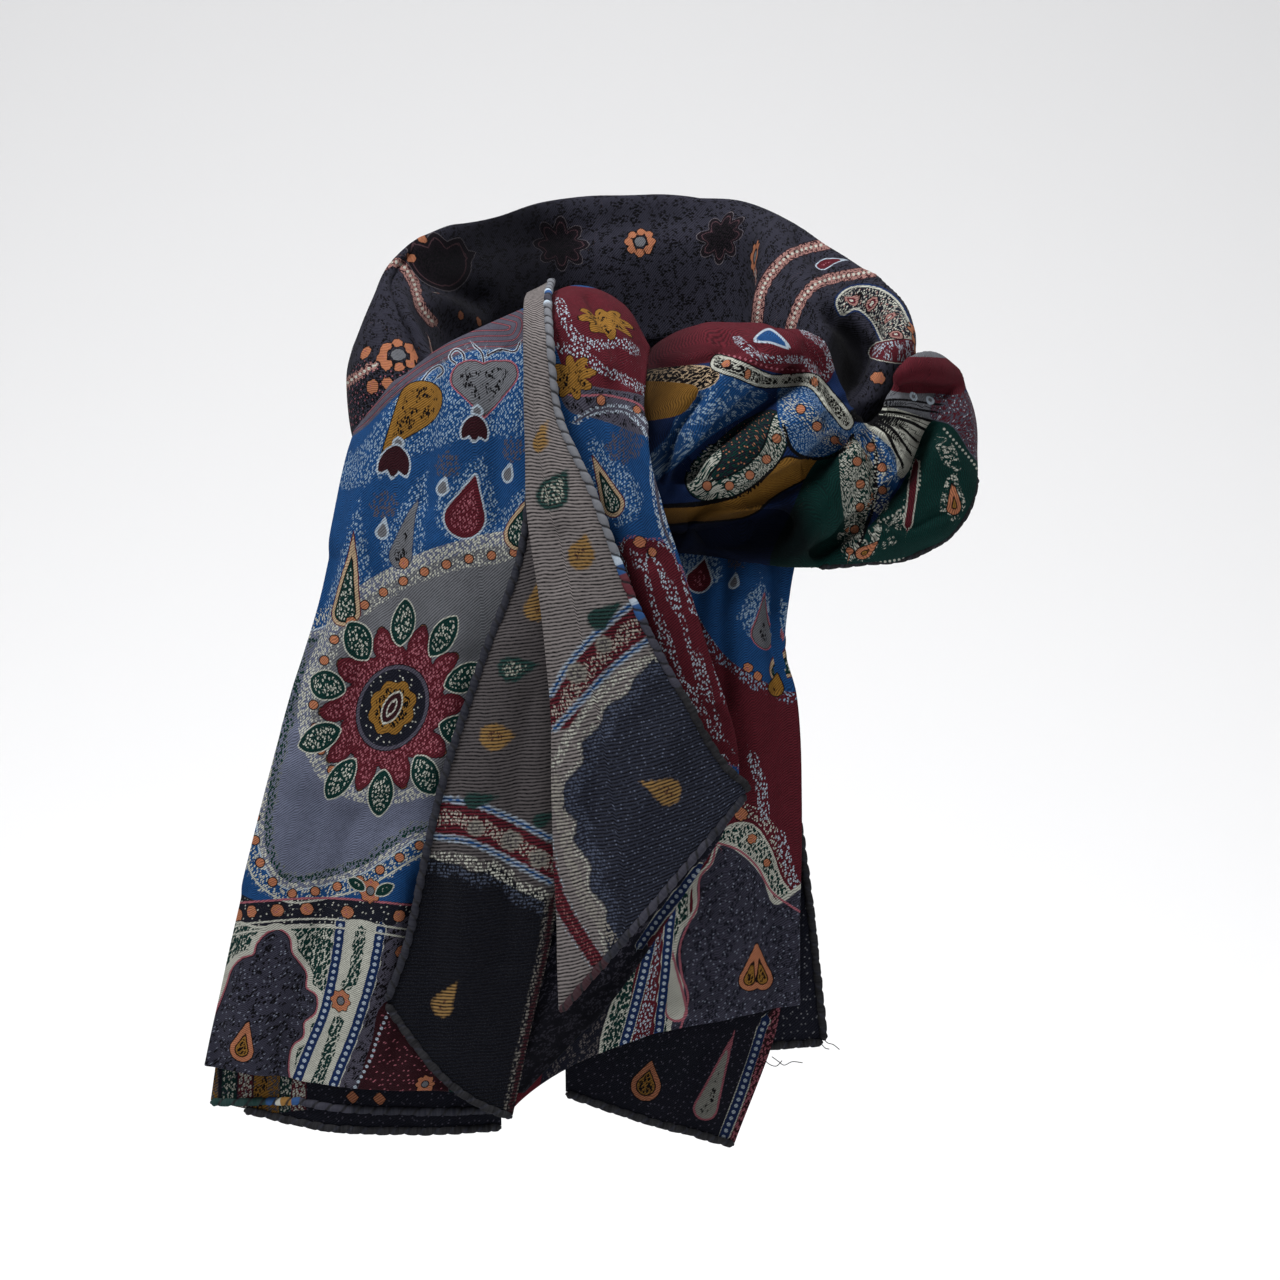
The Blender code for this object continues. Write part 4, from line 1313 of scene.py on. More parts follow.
# The outward half of the end: hearts and drops on blue, the grey disc and the border
FALL_AREAS = (
    ("crown", (340, 440), (365, 428), (395, 398), (430, 371), (470, 352), (521, 346), (521, 310),
     (420, 310), (340, 400)),
    ("thick", (345, 470), (372, 440), (400, 400), (440, 368), (500, 348), (525, 352), (525, 425),
     (480, 432), (430, 445), (385, 470), (350, 484)),
    ("disc", (325, 660), (355, 608), (400, 578), (455, 556), (520, 548), (560, 600), (560, 700),
     (500, 762), (440, 780), (395, 790), (360, 788), (332, 772), (315, 740), (312, 700)),
    ("field", (300, 640), (283, 700), (266, 770), (258, 830), (264, 862), (277, 882), (300, 889),
     (360, 874), (400, 850), (430, 838), (560, 840), (560, 640), (420, 585), (330, 625)),
    ("border", (225, 905), (262, 901), (330, 898), (410, 903), (440, 905), (440, 1130), (200, 1130),
     (190, 1060)),
    ("border_leafy", (225, 932), (262, 926), (330, 924), (412, 934), (440, 940), (440, 1140),
     (200, 1140), (190, 1060)),
    ("arch", (226, 990), (233, 970), (243, 959), (254, 955), (258, 944), (267, 934), (279, 930),
     (289, 938), (291, 952), (298, 962), (306, 974), (306, 988), (316, 996), (315, 1012),
     (304, 1022), (303, 1036), (292, 1046), (288, 1068), (288, 1120), (200, 1120), (200, 1060)),
    ("between", (341, 922), (336, 960), (325, 1010), (308, 1052), (286, 1110), (322, 1116),
     (340, 1068), (355, 1030), (372, 975), (381, 928)),
    ("violet", (387, 930), (440, 930), (440, 1140), (330, 1140), (355, 1040), (372, 985)),
    ("maroon_area", (384, 1003), (440, 985), (440, 1140), (352, 1140), (360, 1080), (372, 1040)),
    ("two_maroon", (548, 290), (640, 300), (650, 330), (664, 420), (648, 402), (610, 392),
     (575, 385), (560, 360)),
    ("two_fan", (560, 380), (600, 388), (640, 395), (660, 408), (665, 440), (600, 420), (568, 410)),
    ("low_right", (480, 860), (560, 840), (700, 780), (760, 800), (700, 930), (560, 1110),
     (500, 1130), (440, 1130), (440, 900)),
    # Painted shade over the fall's lower right
    ("low_shade", (500, 1000), (600, 960), (690, 880), (720, 900), (600, 1060), (520, 1140),
     (440, 1140)),
    ("two_low", (620, 545), (652, 540), (672, 552), (700, 620), (725, 690), (745, 765), (700, 740),
     (655, 660), (635, 600)),
)
FALL_TRIMS = (
    ("squares", (338, 780), (320, 748), (314, 705), (323, 665), (350, 618), (400, 583), (455, 562),
     (516, 552)),
    ("squares", (296, 650), (276, 710), (262, 770), (255, 830), (262, 866), (280, 888), (302, 893),
     (360, 880), (402, 856), (425, 842)),
    ("beaded", (341, 922), (336, 960), (325, 1010), (308, 1052), (286, 1110)),
    ("beaded", (381, 928), (372, 975), (355, 1030), (340, 1068), (322, 1116)),
    ("vine", (361, 932), (354, 975), (347, 985)),
    ("vine", (338, 1022), (326, 1060), (304, 1110)),
    ("vine", (312, 930), (318, 960), (316, 975)),
    ("chain", (392, 1004), (378, 1036), (370, 1060), (350, 1094), (330, 1112)),
    ("pink_line", (232, 904), (262, 901), (330, 898), (412, 905)),
    ("cream_line", (228, 928), (262, 922), (330, 919), (412, 930)),
    ("cream_line", (412, 938), (330, 927), (262, 930), (228, 936)),
    ("cream_line", (290, 640), (268, 710), (252, 770), (244, 830), (252, 874), (276, 897),
     (304, 902), (364, 888), (408, 862), (430, 850)),
    ("pink_line", (572, 396), (610, 396), (640, 406), (652, 430)),
    ("white_row", (560, 304), (574, 336), (600, 345), (622, 343), (634, 352)),
    ("white_row", (552, 346), (573, 352), (588, 358), (602, 370), (620, 377), (646, 392)),
    ("teeth", (578, 420), (600, 410), (630, 412), (652, 440), (655, 480), (662, 520), (672, 548)),
    ("low_red", (712, 872), (680, 906), (652, 942)),
    ("beaded", (700, 868), (664, 912), (640, 945)),
    ("scroll", (398, 400), (418, 386), (430, 372), (440, 366), (444, 372), (438, 378)),
    ("scroll", (455, 378), (462, 368), (464, 356), (456, 350), (450, 358), (456, 364)),
    ("scroll", (482, 372), (486, 358), (500, 350), (515, 352), (520, 344)),
    ("scroll", (484, 368), (482, 354), (474, 346)),
)
FALL_MOTIFS = (
    ("ochre", "drop", (408, 418, 42, 22, 217)),
    ("grey", "heart", (483, 388, 29, 30, 182)),
    ("tulip", "bud", (396, 462, 16, 16, 8), (475, 428, 13, 13, 4)),
    ("small", "drop", (444, 485, 9, 6, 15), (383, 528, 10, 6, 10), (509, 473, 9.5, 6.5, 20),
     (397, 443, 5.5, 5, 0), (478, 410, 5.5, 5, 0)),
    ("blooms", "bloom", (448, 464, 14, 0.35, 0), (386, 505, 15, 0.35, 0), (512, 450, 13, 0.35, 0),
     (624, 447, 18, 0.35, 0)),
    ("orange", "bloom", (404, 564, 5.5, 0.2, 0), (352, 622, 5, 0.2, 0), (370, 891, 12, 0.25, 0),
     (342, 1002, 11, 0.3, 10), (401, 951, 7, 0.2, 0), (425, 1083, 10, 0.3, 0),
     (601, 402, 5, 0.2, 0), (637, 410, 4.4, 0.2, 0), (640, 541, 6, 0.3, 0), (652, 552, 5, 0.3, 0),
     (252, 912, 6.4, 0.16, 0), (276, 911, 6.4, 0.16, 0), (308, 910, 6.4, 0.16, 0),
     (348, 911, 6.4, 0.16, 0), (398, 917, 6.4, 0.16, 0), (236, 914, 6.4, 0.16, 0)),
    ("leaf", "leaf", (356, 884, 10, 5, -60), (385, 890, 10, 5, 60)),
    ("heart", "drop", (244, 1042, 21, 11.5, 14)),
    ("crescent", "leaf", (415, 985, 30, 9, 15)),
    ("ochre", "bloom", (604, 322, 24, 0.45, 10), (573, 376, 22, 0.45, 30)),
)
# Drops that lie in a halo of pale marks
FALL_DROPS = (
    # field, x, y, length, width, angle
    ("green", 350, 580, 45, 14, 4),
    ("slate", 407, 532, 35, 13, 12),
    ("maroon", 468, 507, 31, 19, 14),
    ("green", 524, 522, 27, 17, 14),
    ("green", 606, 487, 31, 12, -25),
)
FALL_COATS = (
    ("thick", (2, PALE_BLUE, "ragged")),
    ("halo", (1.5, PALE_BLUE, "ragged")),
    ("crown", (0, VIOLET_GREY), (-1.2, DARK_MAROON, "lines", 2.6, 0.8),
     (-1.2, PINK, "lines", 2.6, 0.25)),
    ("scroll", (0.75, WHITE), (0.35, DARK_MAROON)),
    ("field", (8, CREAM, "ragged"), (0, FIELD_BLUE), (-1, CREAM, "edge_fringe"),
     (-3, GREEN, "edge_fringe"), (0.2, WHITE, "rim", 0.4)),
    ("disc", (6.5, FIELD_BLUE), (6.5, CREAM, "leafy"), (0, GREY)),
    ("two_maroon", (0, MAROON)),
    ("white_row", (2.6, WHITE, "marks")),
    ("two_fan", (0, VIOLET_GREY), (-1, BLACK, "sprig")),
    ("two_low", (1, PINK, "ragged"), (0, MAROON), (-0.2, WHITE, "zigzag")),
    ("teeth", (2.4, WHITE, "leafy"), (0.6, VIOLET_GREY)),
    ("low_right", (0, NAVY), (-1, VIOLET_GREY, "sprig")),
    ("low_red", (3.2, WHITE, "marks"), (2.4, MAROON)),
    ("border", (0, NAVY), (-0.8, CREAM, "grains")),
    ("border_leafy", (0, CREAM), (-1.2, GREEN, "dense")),
    ("between", (0, CREAM)),
    ("vine", (3.8, GREEN, "dense")),
    ("violet", (0, VIOLET_GREY), (-1.6, BLACK, "sprig")),
    ("maroon_area", (0, DARK_MAROON), (-2, PINK, "grains")),
    ("chain", (0, WHITE, "beads", 2.8, 0.8)),
    ("arch", (3.4, CREAM), (0.9, PINK), (0.1, BLACK), (-0.3, DUSK), (-1, BLACK, "sprig"),
     (-1.5, SPECK, "grains")),
    ("crescent", (0, GREY)),
    *finished("squares", "beaded", "cream_line", "pink_line"),
    ("blooms", (0.3, VIOLET_GREY, "leafy")),
    *finished("ochre", "grey", "slate", "maroon", "green", "small", "tulip", "heart", "orange",
     "orange_eye", "petals", "leaf", "eye", "eye_gold", "core"),
    # Painted shade over the fall's lower right
    ("low_shade", (0, BLACK, "soft", 26, 0.75)),
    ("core", (-2.4, CREAM, "rim", 0.35)),
)

# The wrong side of the end, where the print shows faintly through
FLAP_AREAS = (
    ("navy_field", (562, 806), (566, 782), (582, 762), (582, 742), (600, 724), (606, 706),
     (626, 694), (640, 672), (680, 655), (760, 780), (700, 880), (622, 960), (604, 930), (606, 908),
     (590, 888), (590, 864), (574, 842), (576, 822)),
)
FLAP_TRIMS = (
    ("band", (560, 714), (580, 680), (608, 650), (640, 622), (660, 610)),
    ("blue_line", (552, 694), (572, 660), (600, 630), (632, 604)),
    ("blue_line", (556, 728), (580, 702), (612, 668), (648, 640), (668, 630)),
    ("scallop", (556, 765), (570, 735), (590, 705), (615, 680), (645, 660), (668, 655)),
    ("edge_band", (536, 780), (546, 850), (562, 905), (600, 966)),
    ("edge_pale", (556, 780), (566, 840), (582, 892), (616, 944)),
)
FLAP_MOTIFS = (
    ("faded_ochre", "drop", (581, 551, 17, 13, 12), (541, 437, 15, 9, 10), (661, 789, 20, 13, -70)),
    ("faded_green", "drop", (556, 489, 21, 15, 32)),
    ("faded_blot", "drop", (606, 612, 20, 10, 55)),
    ("rosettes", "bloom", (577, 672, 10, 0.2, 0), (604, 645, 8, 0.2, 0)),
)
FLAP_COATS = (
    ("navy_field", (2.2, CREAM, "ragged_leafy"), (0, colour(48, 52, 66)),
     (-1, colour(76, 84, 104), "edge_fringe"), (-2, colour(96, 104, 124), "grains")),
    ("scallop", (2.4, CREAM, "leafy")),
    ("edge_pale", (4.4, colour(160, 156, 148), "dense")),
    ("edge_band", (4.6, WHITE, "marks"), (3.4, MAROON), (1.2, colour(150, 96, 96), "marks")),
    ("band", (7.5, MAROON), (3.6, FADED_STONE, "ragged_leafy")),
    *finished("blue_line", "rosettes", "faded_ochre", "faded_green", "faded_blot"),
)

# The half of it that lies beneath
FLAP_UNDER_AREAS = (
    ("navy_field", (400, 858), (452, 862), (476, 872), (492, 866), (510, 876), (524, 892),
     (540, 892), (556, 908), (590, 926), (560, 1120), (500, 1130), (360, 1080), (360, 980),
     (390, 900)),
)
FLAP_UNDER_TRIMS = (
    ("band", (436, 816), (470, 822), (505, 838), (548, 862), (575, 872)),
    ("blue_line", (440, 798), (475, 804), (510, 818), (550, 838)),
    ("blue_line", (432, 836), (470, 842), (505, 858), (550, 882)),
    ("scallop", (440, 856), (475, 862), (510, 880), (560, 904)),
    ("edge_band", (552, 900), (545, 950), (532, 1010), (508, 1120)),
)
FLAP_UNDER_MOTIFS = (
    ("faded_ochre", "drop", (536, 602, 18, 11, 5), (499, 736, 17, 13, 85), (446, 999, 20, 11, 35)),
    ("faded_green", "drop", (520, 668, 20, 12, 80)),
    ("faded_blot", "drop", (482, 799, 18, 8, 80), (545, 818, 12, 7, 60)),
    ("rosettes", "bloom", (512, 841, 10, 0.2, 0), (538, 858, 9, 0.2, 0), (476, 829, 8, 0.2, 0)),
)
FLAP_UNDER_COATS = (
    ("navy_field", (2.2, CREAM, "ragged_leafy"), (0, colour(18, 21, 29)),
     (-1, colour(70, 78, 96), "edge_fringe")),
    ("scallop", (2.4, CREAM, "leafy")),
    ("edge_band", (3.4, colour(120, 116, 110), "leafy"), (1.2, DARK_MAROON)),
    ("band", (8, MAROON), (3.6, FADED_STONE, "ragged_leafy")),
    *finished("blue_line", "rosettes", "faded_ochre", "faded_green", "faded_blot"),
)

# The other end's front: drops on blue at its top, the maroon field and its border
TAIL_AREAS = (
    ("blue_top", (660, 540), (800, 560), (810, 640), (800, 690), (760, 680), (720, 650),
     (690, 600)),
    ("navy_field", (722, 845), (745, 858), (762, 878), (776, 905), (815, 890), (830, 1000),
     (800, 1040), (678, 1040), (684, 990), (676, 960), (683, 930), (697, 912), (698, 882),
     (712, 865)),
    ("leafy_top", (712, 848), (722, 830), (738, 822), (756, 826), (772, 850), (782, 878),
     (796, 900), (790, 912), (770, 890), (758, 868), (742, 856), (724, 846)),
    ("low_dark", (660, 840), (600, 940), (540, 1100), (650, 1080), (660, 930)),
    ("leafy_low", (678, 870), (640, 935), (600, 1060), (690, 1060), (690, 900), (700, 880)),
    ("stripe_low", (664, 930), (650, 1050), (625, 1050), (642, 945)),
    # Painted shade across the tail's top, where it comes out from under the gathered front
    ("top_shade", (640, 520), (830, 540), (830, 560), (640, 545)),
)
TAIL_TRIMS = (
    ("edging", (716, 812), (742, 808), (768, 826), (784, 860), (796, 890), (812, 900)),
    ("fringe", (752, 758), (760, 782), (764, 815)),
    ("fringe", (780, 836), (788, 866), (798, 896)),
    ("pink_line", (716, 842), (712, 862), (700, 878), (698, 905), (688, 925), (680, 948),
     (682, 975), (688, 998), (680, 1030)),
    ("pink_line", (716, 842), (738, 850), (756, 866), (772, 892), (800, 912)),
    ("beaded", (672, 900), (668, 940), (664, 985), (658, 1040)),
    ("beaded", (652, 935), (643, 975), (634, 1010), (624, 1045)),
)
TAIL_MOTIFS = (
    ("maroon", "drop", (700, 575, 18, 12, 10)),
    ("small", "drop", (735, 581, 8, 5, 0)),
    ("halo", "drop", (700, 565, 26, 20, 10), (762, 610, 32, 22, 10)),
    ("grey", "drop", (762, 622, 28, 13, 20)),
    ("green", "drop", (790, 660, 16, 9, 20)),
    ("ochre", "drop", (776, 684, 12, 8, 10)),
    ("orange", "bloom", (748, 668, 5, 0.3, 0), (757, 676, 5, 0.3, 0), (751, 838, 5, 0.3, 0),
     (766, 862, 4, 0.3, 0), (741, 815, 7, 0.3, 0)),
    ("heart", "heart", (755, 966, 24, 18, 0)),
    ("pale_drop", "drop", (674, 986, 33, 9, -6)),
    ("blooms", "bloom", (738, 558, 12, 0.3, 0)),
)
TAIL_COATS = (
    ("blue_top", (4, PALE_BLUE, "ragged"), (0, BLUE)),
    ("halo", (0.5, PALE_BLUE, "ragged_leafy")),
    ("blooms", (0.3, VIOLET_GREY, "leafy")),
    ("edging", (3.6, CREAM, "marks")),
    ("fringe", (3, WHITE, "marks")),
    ("leafy_top", (0, CREAM), (-1, GREEN, "leafy")),
    ("low_dark", (0, NAVY), (-1, DARK_TAUPE, "sprig")),
    ("leafy_low", (0, CREAM), (-1, GREEN, "dense")),
    ("stripe_low", (0, MAROON), (-2, WHITE, "marks")),
    ("navy_field", (2.2, CREAM), (0, DUSK), (-1, NAVY, "sprig"), (-1.5, SPECK, "grains")),
    ("pale_drop", (1.2, PINK), (0, CREAM)),
    *finished("beaded", "pink_line", "maroon", "small", "grey", "green", "ochre", "orange",
     "orange_eye", "heart"),
    # Painted shade across the tail's top, where it comes out from under the gathered front
    ("top_shade", (0, BLACK, "soft", 22, 0.5)),
)

# The corner that is folded back
CORNER_AREAS = (
    ("maroon_area", (765, 1020), (790, 1020), (750, 1160), (722, 1160)),
)
CORNER_TRIMS = (
    ("beaded", (765, 1020), (752, 1060), (738, 1100), (722, 1140)),
)
CORNER_MOTIFS = (
    ("heart", "drop", (648, 1080, 20, 14, 12)),
    ("pale_drop", "drop", (717, 1078, 40, 10, 20)),
)
CORNER_COATS = (
    ("all", (400, VIOLET_GREY, "grains")),
    ("maroon_area", (0, DARK_MAROON), (-1, PINK, "leafy")),
    ("pale_drop", (1, PINK), (0, colour(150, 150, 142)), (-2, BLACK, "sprig")),
    *finished("beaded", "heart"),
    # Painted shade: the whole corner darkened, as it hangs behind the tail
    ("all", (400, BLACK, "soft", 1, 0.45)),
)

# The layer behind, which shows as a narrow strip
BACK_AREAS = (
    ("dark", (800, 900), (818, 900), (830, 1060), (760, 1060), (790, 1000)),
)
BACK_COATS = (
    ("all", (400, PINK, "grains")),
    *finished("maroon", "grey", "orange", "orange_eye"),
    ("dark", (6, NAVY, "wash"), (6, GREY, "grains")),
)

# The folded layer, whose bands run down it
UNDER_AREAS = (
    ("below", (190, 1116), (262, 1115), (300, 1110), (350, 1108), (460, 1110), (460, 1170),
     (190, 1170)),
)
UNDER_MOTIFS = (
    ("orange", "bloom", (350, 1098, 6, 0.3, 0), (378, 1099, 6, 0.3, 0)),
)
UNDER_COATS = (
    ("part_0", (0, DARK_TAUPE), (-0.5, OCHRE, "leafy")),
    ("part_1", (0, GREEN), (-0.5, CREAM, "marks")),
    ("part_2", (0, MAROON), (-0.5, CREAM, "leafy")),
    ("part_3", (0, OCHRE), (-0.5, BLACK, "sprig")),
    ("below", (0, NAVY)),
    ("all", (400, VIOLET_GREY, "grains")),
    *finished("maroon", "grey", "orange", "orange_eye"),
    # Painted shade: the whole layer darkened, as it lies folded under the fall
    ("all", (400, BLACK, "soft", 1, 0.4)),
)

# Charcoal with dotted ribbons and flowers, carried on round the back
LOOP_AREAS = (
    ("mottled", (836, 300), (852, 287), (878, 288), (900, 304), (912, 334), (904, 352), (884, 344),
     (872, 322), (856, 310), (842, 316)),
    ("roll_maroon", (876, 344), (912, 340), (908, 362), (872, 358)),
    # Painted shade in the dark hollow beside the roll at the band's right end
    ("hole", (838, 322), (856, 332), (866, 356), (858, 386), (836, 396), (826, 360)),
    # Painted shadow inside the band at the left, where the neck would shade it
    ("inside", (455, 226), (540, 196), (570, 290), (540, 340), (450, 318), (440, 270)),
    ("speckled", (352, 366), (388, 360), (424, 372), (428, 396), (400, 420), (350, 430)),
)
LOOP_TRIMS = (
    ("ribbon", (350, 286), (372, 272), (396, 262), (412, 280), (420, 306), (432, 322)),
    ("ribbon", (372, 258), (392, 250), (404, 240), (420, 220)),
    ("ribbon", (330, 396), (358, 376), (374, 366)),
    ("ribbon", (752, 360), (757, 326), (762, 292), (778, 266), (800, 251), (850, 240)),
    ("ribbon", (785, 370), (789, 338), (796, 312), (808, 292), (828, 280), (900, 268)),
)
LOOP_MOTIFS = (
    ("orange", "bloom", (399, 354, 23, 0.22, 0), (371, 386, 8, 0.25, 0), (389, 385, 7, 0.25, 0),
     (366, 352, 8, 0.25, 0), (410, 258, 6, 0.25, 0), (417, 234, 6, 0.25, 0), (462, 316, 5, 0.25, 0),
     (478, 322, 5, 0.25, 0), (880, 378, 9, 0.3, 0)),
    ("dark_bloom", "bud", (439, 262, 34, 46, 180)),
    ("dark_bloom", "leaf", (456, 262, 26, 9, 60)),
    ("maroon", "drop", (830, 264, 15, 8, 62)),
    ("roll_bloom", "bloom", (851, 301, 7.5, 0.3, 0), (872, 303, 8, 0.3, 20), (889, 317, 8, 0.3, 0),
     (896, 336, 7, 0.3, 0)),
)
LOOP_COATS = (
    ("all", (400, BLACK, "sprig")),
    ("speckled", (0, BLACK, "leafy"), (-1, PINK, "grains")),
    ("ribbon", (6.5, BLACK, "leafy"), (3, DARK_MAROON), (2.6, ROSE, "dense"),
     (0, CREAM, "beads", 2.4, 0.7)),
    ("mottled", (0.8, DEEP_BLUE), (0, CREAM), (-0.9, NAVY), (-1, CREAM, "marks"),
     (-1.8, ROSE, "grains")),
    ("roll_maroon", (0.4, CREAM), (0, MAROON), (-0.8, WHITE, "sprig")),
    # Painted shade in the dark hollow beside the roll at the band's right end
    ("hole", (2, BLACK, "soft", 8, 0.95)),
    # Painted shadow inside the band at the left, where the neck would shade it
    ("inside", (4, BLACK, "soft", 24, 0.75)),
    ("dark_bloom", (0.5, colour(104, 98, 104)), (0, colour(26, 20, 26)),
     (-2.6, colour(84, 60, 66), "rim", 0.35), (-5, BLACK, "leafy")),
    *finished("maroon", "grey", "orange", "orange_eye", "roll_bloom"),
)

# The gathered front, where every part of the print is drawn together. Its areas and trims are
# placed in an enlarged view of the photograph.
WRAP_AREAS = (
    ("maroon_roll", (300, 500), (480, 480), (700, 480), (860, 520), (830, 660), (790, 770),
     (704, 752), (576, 728), (400, 690), (200, 705), (-60, 715), (-60, 560)),
    ("cream_band", (344, 662), (450, 690), (560, 738), (640, 738), (736, 738), (810, 810),
     (890, 920), (860, 955), (790, 880), (720, 790), (640, 788), (528, 788), (430, 752),
     (330, 715)),
    ("leafy_left", (-60, 700), (330, 712), (290, 800), (-60, 800)),
    ("ochre_lobe", (-60, 780), (250, 780), (240, 860), (160, 910), (-60, 920)),
    ("blue_a", (300, 722), (512, 792), (560, 830), (464, 900), (330, 980), (200, 1090), (60, 1190),
     (60, 1080), (150, 980), (200, 860)),
    ("blue_b", (590, 800), (640, 770), (730, 780), (800, 850), (880, 960), (850, 1030), (740, 1075),
     (650, 1040), (600, 950)),
    ("ochre_band", (830, 1030), (700, 1075), (620, 1070), (560, 1130), (440, 1220), (300, 1262),
     (60, 1280), (60, 1335), (330, 1320), (480, 1296), (600, 1210), (800, 1100)),
    ("green_plain", (740, 1090), (860, 1010), (880, 1400), (700, 1500), (560, 1500), (640, 1300)),
    ("green_spots", (840, 1010), (920, 980), (975, 1080), (965, 1260), (900, 1430), (850, 1300)),
    ("blue_strip", (880, 960), (960, 930), (1060, 1010), (1080, 1150), (1010, 1250), (975, 1100)),
    ("cream_pleats", (940, 850), (1190, 915), (1200, 980), (1080, 1160), (1050, 1040), (930, 930)),
    ("maroon_g", (1040, 680), (1340, 690), (1330, 810), (1240, 815), (1040, 800)),
    ("grey_cap", (1060, 600), (1330, 600), (1360, 720), (1050, 720)),
    ("grey_g", (1000, 790), (1245, 808), (1200, 925), (920, 870)),
    ("bulge", (1200, 930), (1320, 960), (1500, 1100), (1500, 1300), (1240, 1600), (680, 1640),
     (700, 1470), (900, 1400), (1080, 1190)),
    ("violet_edge", (1230, 800), (1330, 800), (1500, 960), (1520, 1180), (1380, 1080), (1290, 950),
     (1200, 905)),
    ("blue_triangle", (496, 604), (560, 560), (640, 634), (560, 612)),
    ("dark_in", (260, 1120), (400, 960), (560, 880), (600, 930), (520, 1060), (400, 1170)),
    # Painted shade in the deep hollow below the ochre band, and over the left part in shadow
    ("hollow", (60, 1330), (480, 1300), (640, 1240), (700, 1320), (660, 1480), (60, 1480)),
    ("left_shade", (-100, 600), (160, 620), (120, 1000), (60, 1500), (-100, 1500)),
)
WRAP_TRIMS = (
    ("row_a", (430, 600), (528, 672), (690, 680), (770, 760)),
    ("row_b", (344, 655), (450, 676), (570, 712), (700, 722), (770, 735)),
    ("row_a", (690, 560), (790, 640), (800, 720)),
    ("green_band", (610, 930), (560, 1060), (460, 1155), (330, 1205), (262, 1160), (330, 1060)),
    ("squares", (600, 950), (556, 1060), (460, 1150), (340, 1195), (280, 1150)),
    ("squares", (900, 1040), (922, 1240), (880, 1440)),
    ("squares", (640, 860), (700, 890), (760, 960), (820, 1000)),
    ("squares", (940, 990), (1010, 1120), (1000, 1260)),
    ("ray", (880, 915), (1010, 960), (1090, 1100)),
    ("ray", (880, 910), (1030, 945), (1120, 1050)),
    ("ray", (880, 905), (1050, 930), (1150, 1010)),
    ("ray", (880, 900), (1070, 915), (1190, 960)),
    ("ray", (880, 895), (1060, 890), (1220, 925)),
    ("fold_line", (880, 885), (1050, 840), (1240, 860)),
    ("fold_line", (880, 890), (1060, 866), (1230, 890)),
    ("dots", (1160, 1080), (1150, 1200), (1070, 1290), (1000, 1330), (960, 1420)),
    ("dots", (1250, 950), (1400, 1150), (1350, 1330), (1180, 1450), (900, 1500), (700, 1520)),
    ("dark_edge", (560, 1120), (430, 1225), (60, 1270)),
    ("dark_edge", (612, 940), (650, 1040), (740, 1075), (850, 1045), (890, 980)),
    ("dark_edge", (975, 1000), (985, 1100), (970, 1280), (900, 1450)),
    ("maroon_stick", (1144, 1100), (1130, 1200), (1110, 1340)),
)
WRAP_MOTIFS = (
    ("heart", "drop", (952.5, 498.75, 16, 8, 0), (867.5, 550, 13, 8, 35)),
    ("ring", "drop", (952.5, 491.25, 28, 15, 0), (867.5, 542.5, 25, 15, 35)),
    ("ring", "leaf", (950, 455, 26, 10, -30), (892.5, 522.5, 26, 10, 30)),
    ("orange", "bloom", (747.5, 373.75, 5, 0.3, 0), (726.25, 363.75, 5, 0.3, 0),
     (813.75, 381.25, 5, 0.3, 0)),
    ("small", "drop", (912.5, 396.5, 3.5, 3.5, 0), (930, 399.5, 3.5, 3.5, 0)),
)
WRAP_COATS = (
    ("blue_a", (0, BLUE), (-0.6, PALE_BLUE, "sprig")),
    ("dark_in", (0, NAVY), (-0.5, GREEN, "leafy"), (-1, ORANGE, "grains")),
    ("green_band", (5.4, BLACK), (4.8, GREEN), (4.4, CREAM, "leafy")),
    ("ochre_band", (1, BLACK), (0, OCHRE)),
    ("leafy_left", (0, BEIGE), (-0.4, BLACK, "dense")),
    ("ochre_lobe", (0, OCHRE)),
    ("green_plain", (0, GREEN)),
    ("green_spots", (0, GREEN), (-0.3, CREAM, "leafy")),
    ("blue_strip", (0, BLUE), (-0.3, PALE_BLUE, "marks")),
    ("blue_b", (0, BLUE), (-0.6, PALE_BLUE, "marks")),
    ("grey_g", (0, GREY)),
    ("cream_pleats", (0, CREAM)),
    ("ray", (0.7, BLACK)),
    ("bulge", (0, GREEN)),
    ("violet_edge", (0, VIOLET_GREY), (-0.5, MAROON, "leafy"), (-0.5, WHITE, "grains")),
    ("grey_cap", (0, GREY)),
    ("maroon_g", (0, MAROON)),
    ("fold_line", (0.5, BLACK)),
    ("maroon_roll", (0, MAROON)),
    ("row_a", (2, WHITE, "marks")),
    ("row_b", (0, PINK, "beads", 2.6, 0.6)),
    ("blue_triangle", (0, BLUE), (0, WHITE, "rim", 0.5)),
    ("cream_band", (0.6, BLACK), (0, CREAM), (-1.4, BLACK, "dense")),
    ("dark_edge", (0.9, BLACK)),
    ("dots", (0, CREAM, "beads", 2.2, 0.6)),
    ("ring", (0, CREAM, "sprig")),
    ("maroon_stick", (2.3, CREAM), (1.6, MAROON)),
    *finished("squares", "heart", "small", "orange"),
    # Painted shade in the deep hollow below the ochre band, and over the left part in shadow
    ("hollow", (3, BLACK, "soft", 12, 0.85)),
    ("left_shade", (6, BLACK, "soft", 26, 0.75)),
)

# Motifs on the hidden layers, each row a field and a shape. The places are the share of the way
# down and across, the length, the width and the angle.
BACK_MOTIFS = (
    ("maroon", "drop", (0.12, 0.5, 24, 14, 10), (0.48, 0.4, 24, 14, -12)),
    ("orange", "bloom", (0.26, 0.3, 16, 0.25, 0), (0.60, 0.7, 16, 0.25, 0)),
    ("grey", "heart", (0.34, 0.7, 24, 20, 180)),
    ("grey", "drop", (0.72, 0.35, 24, 13, 8)),
)

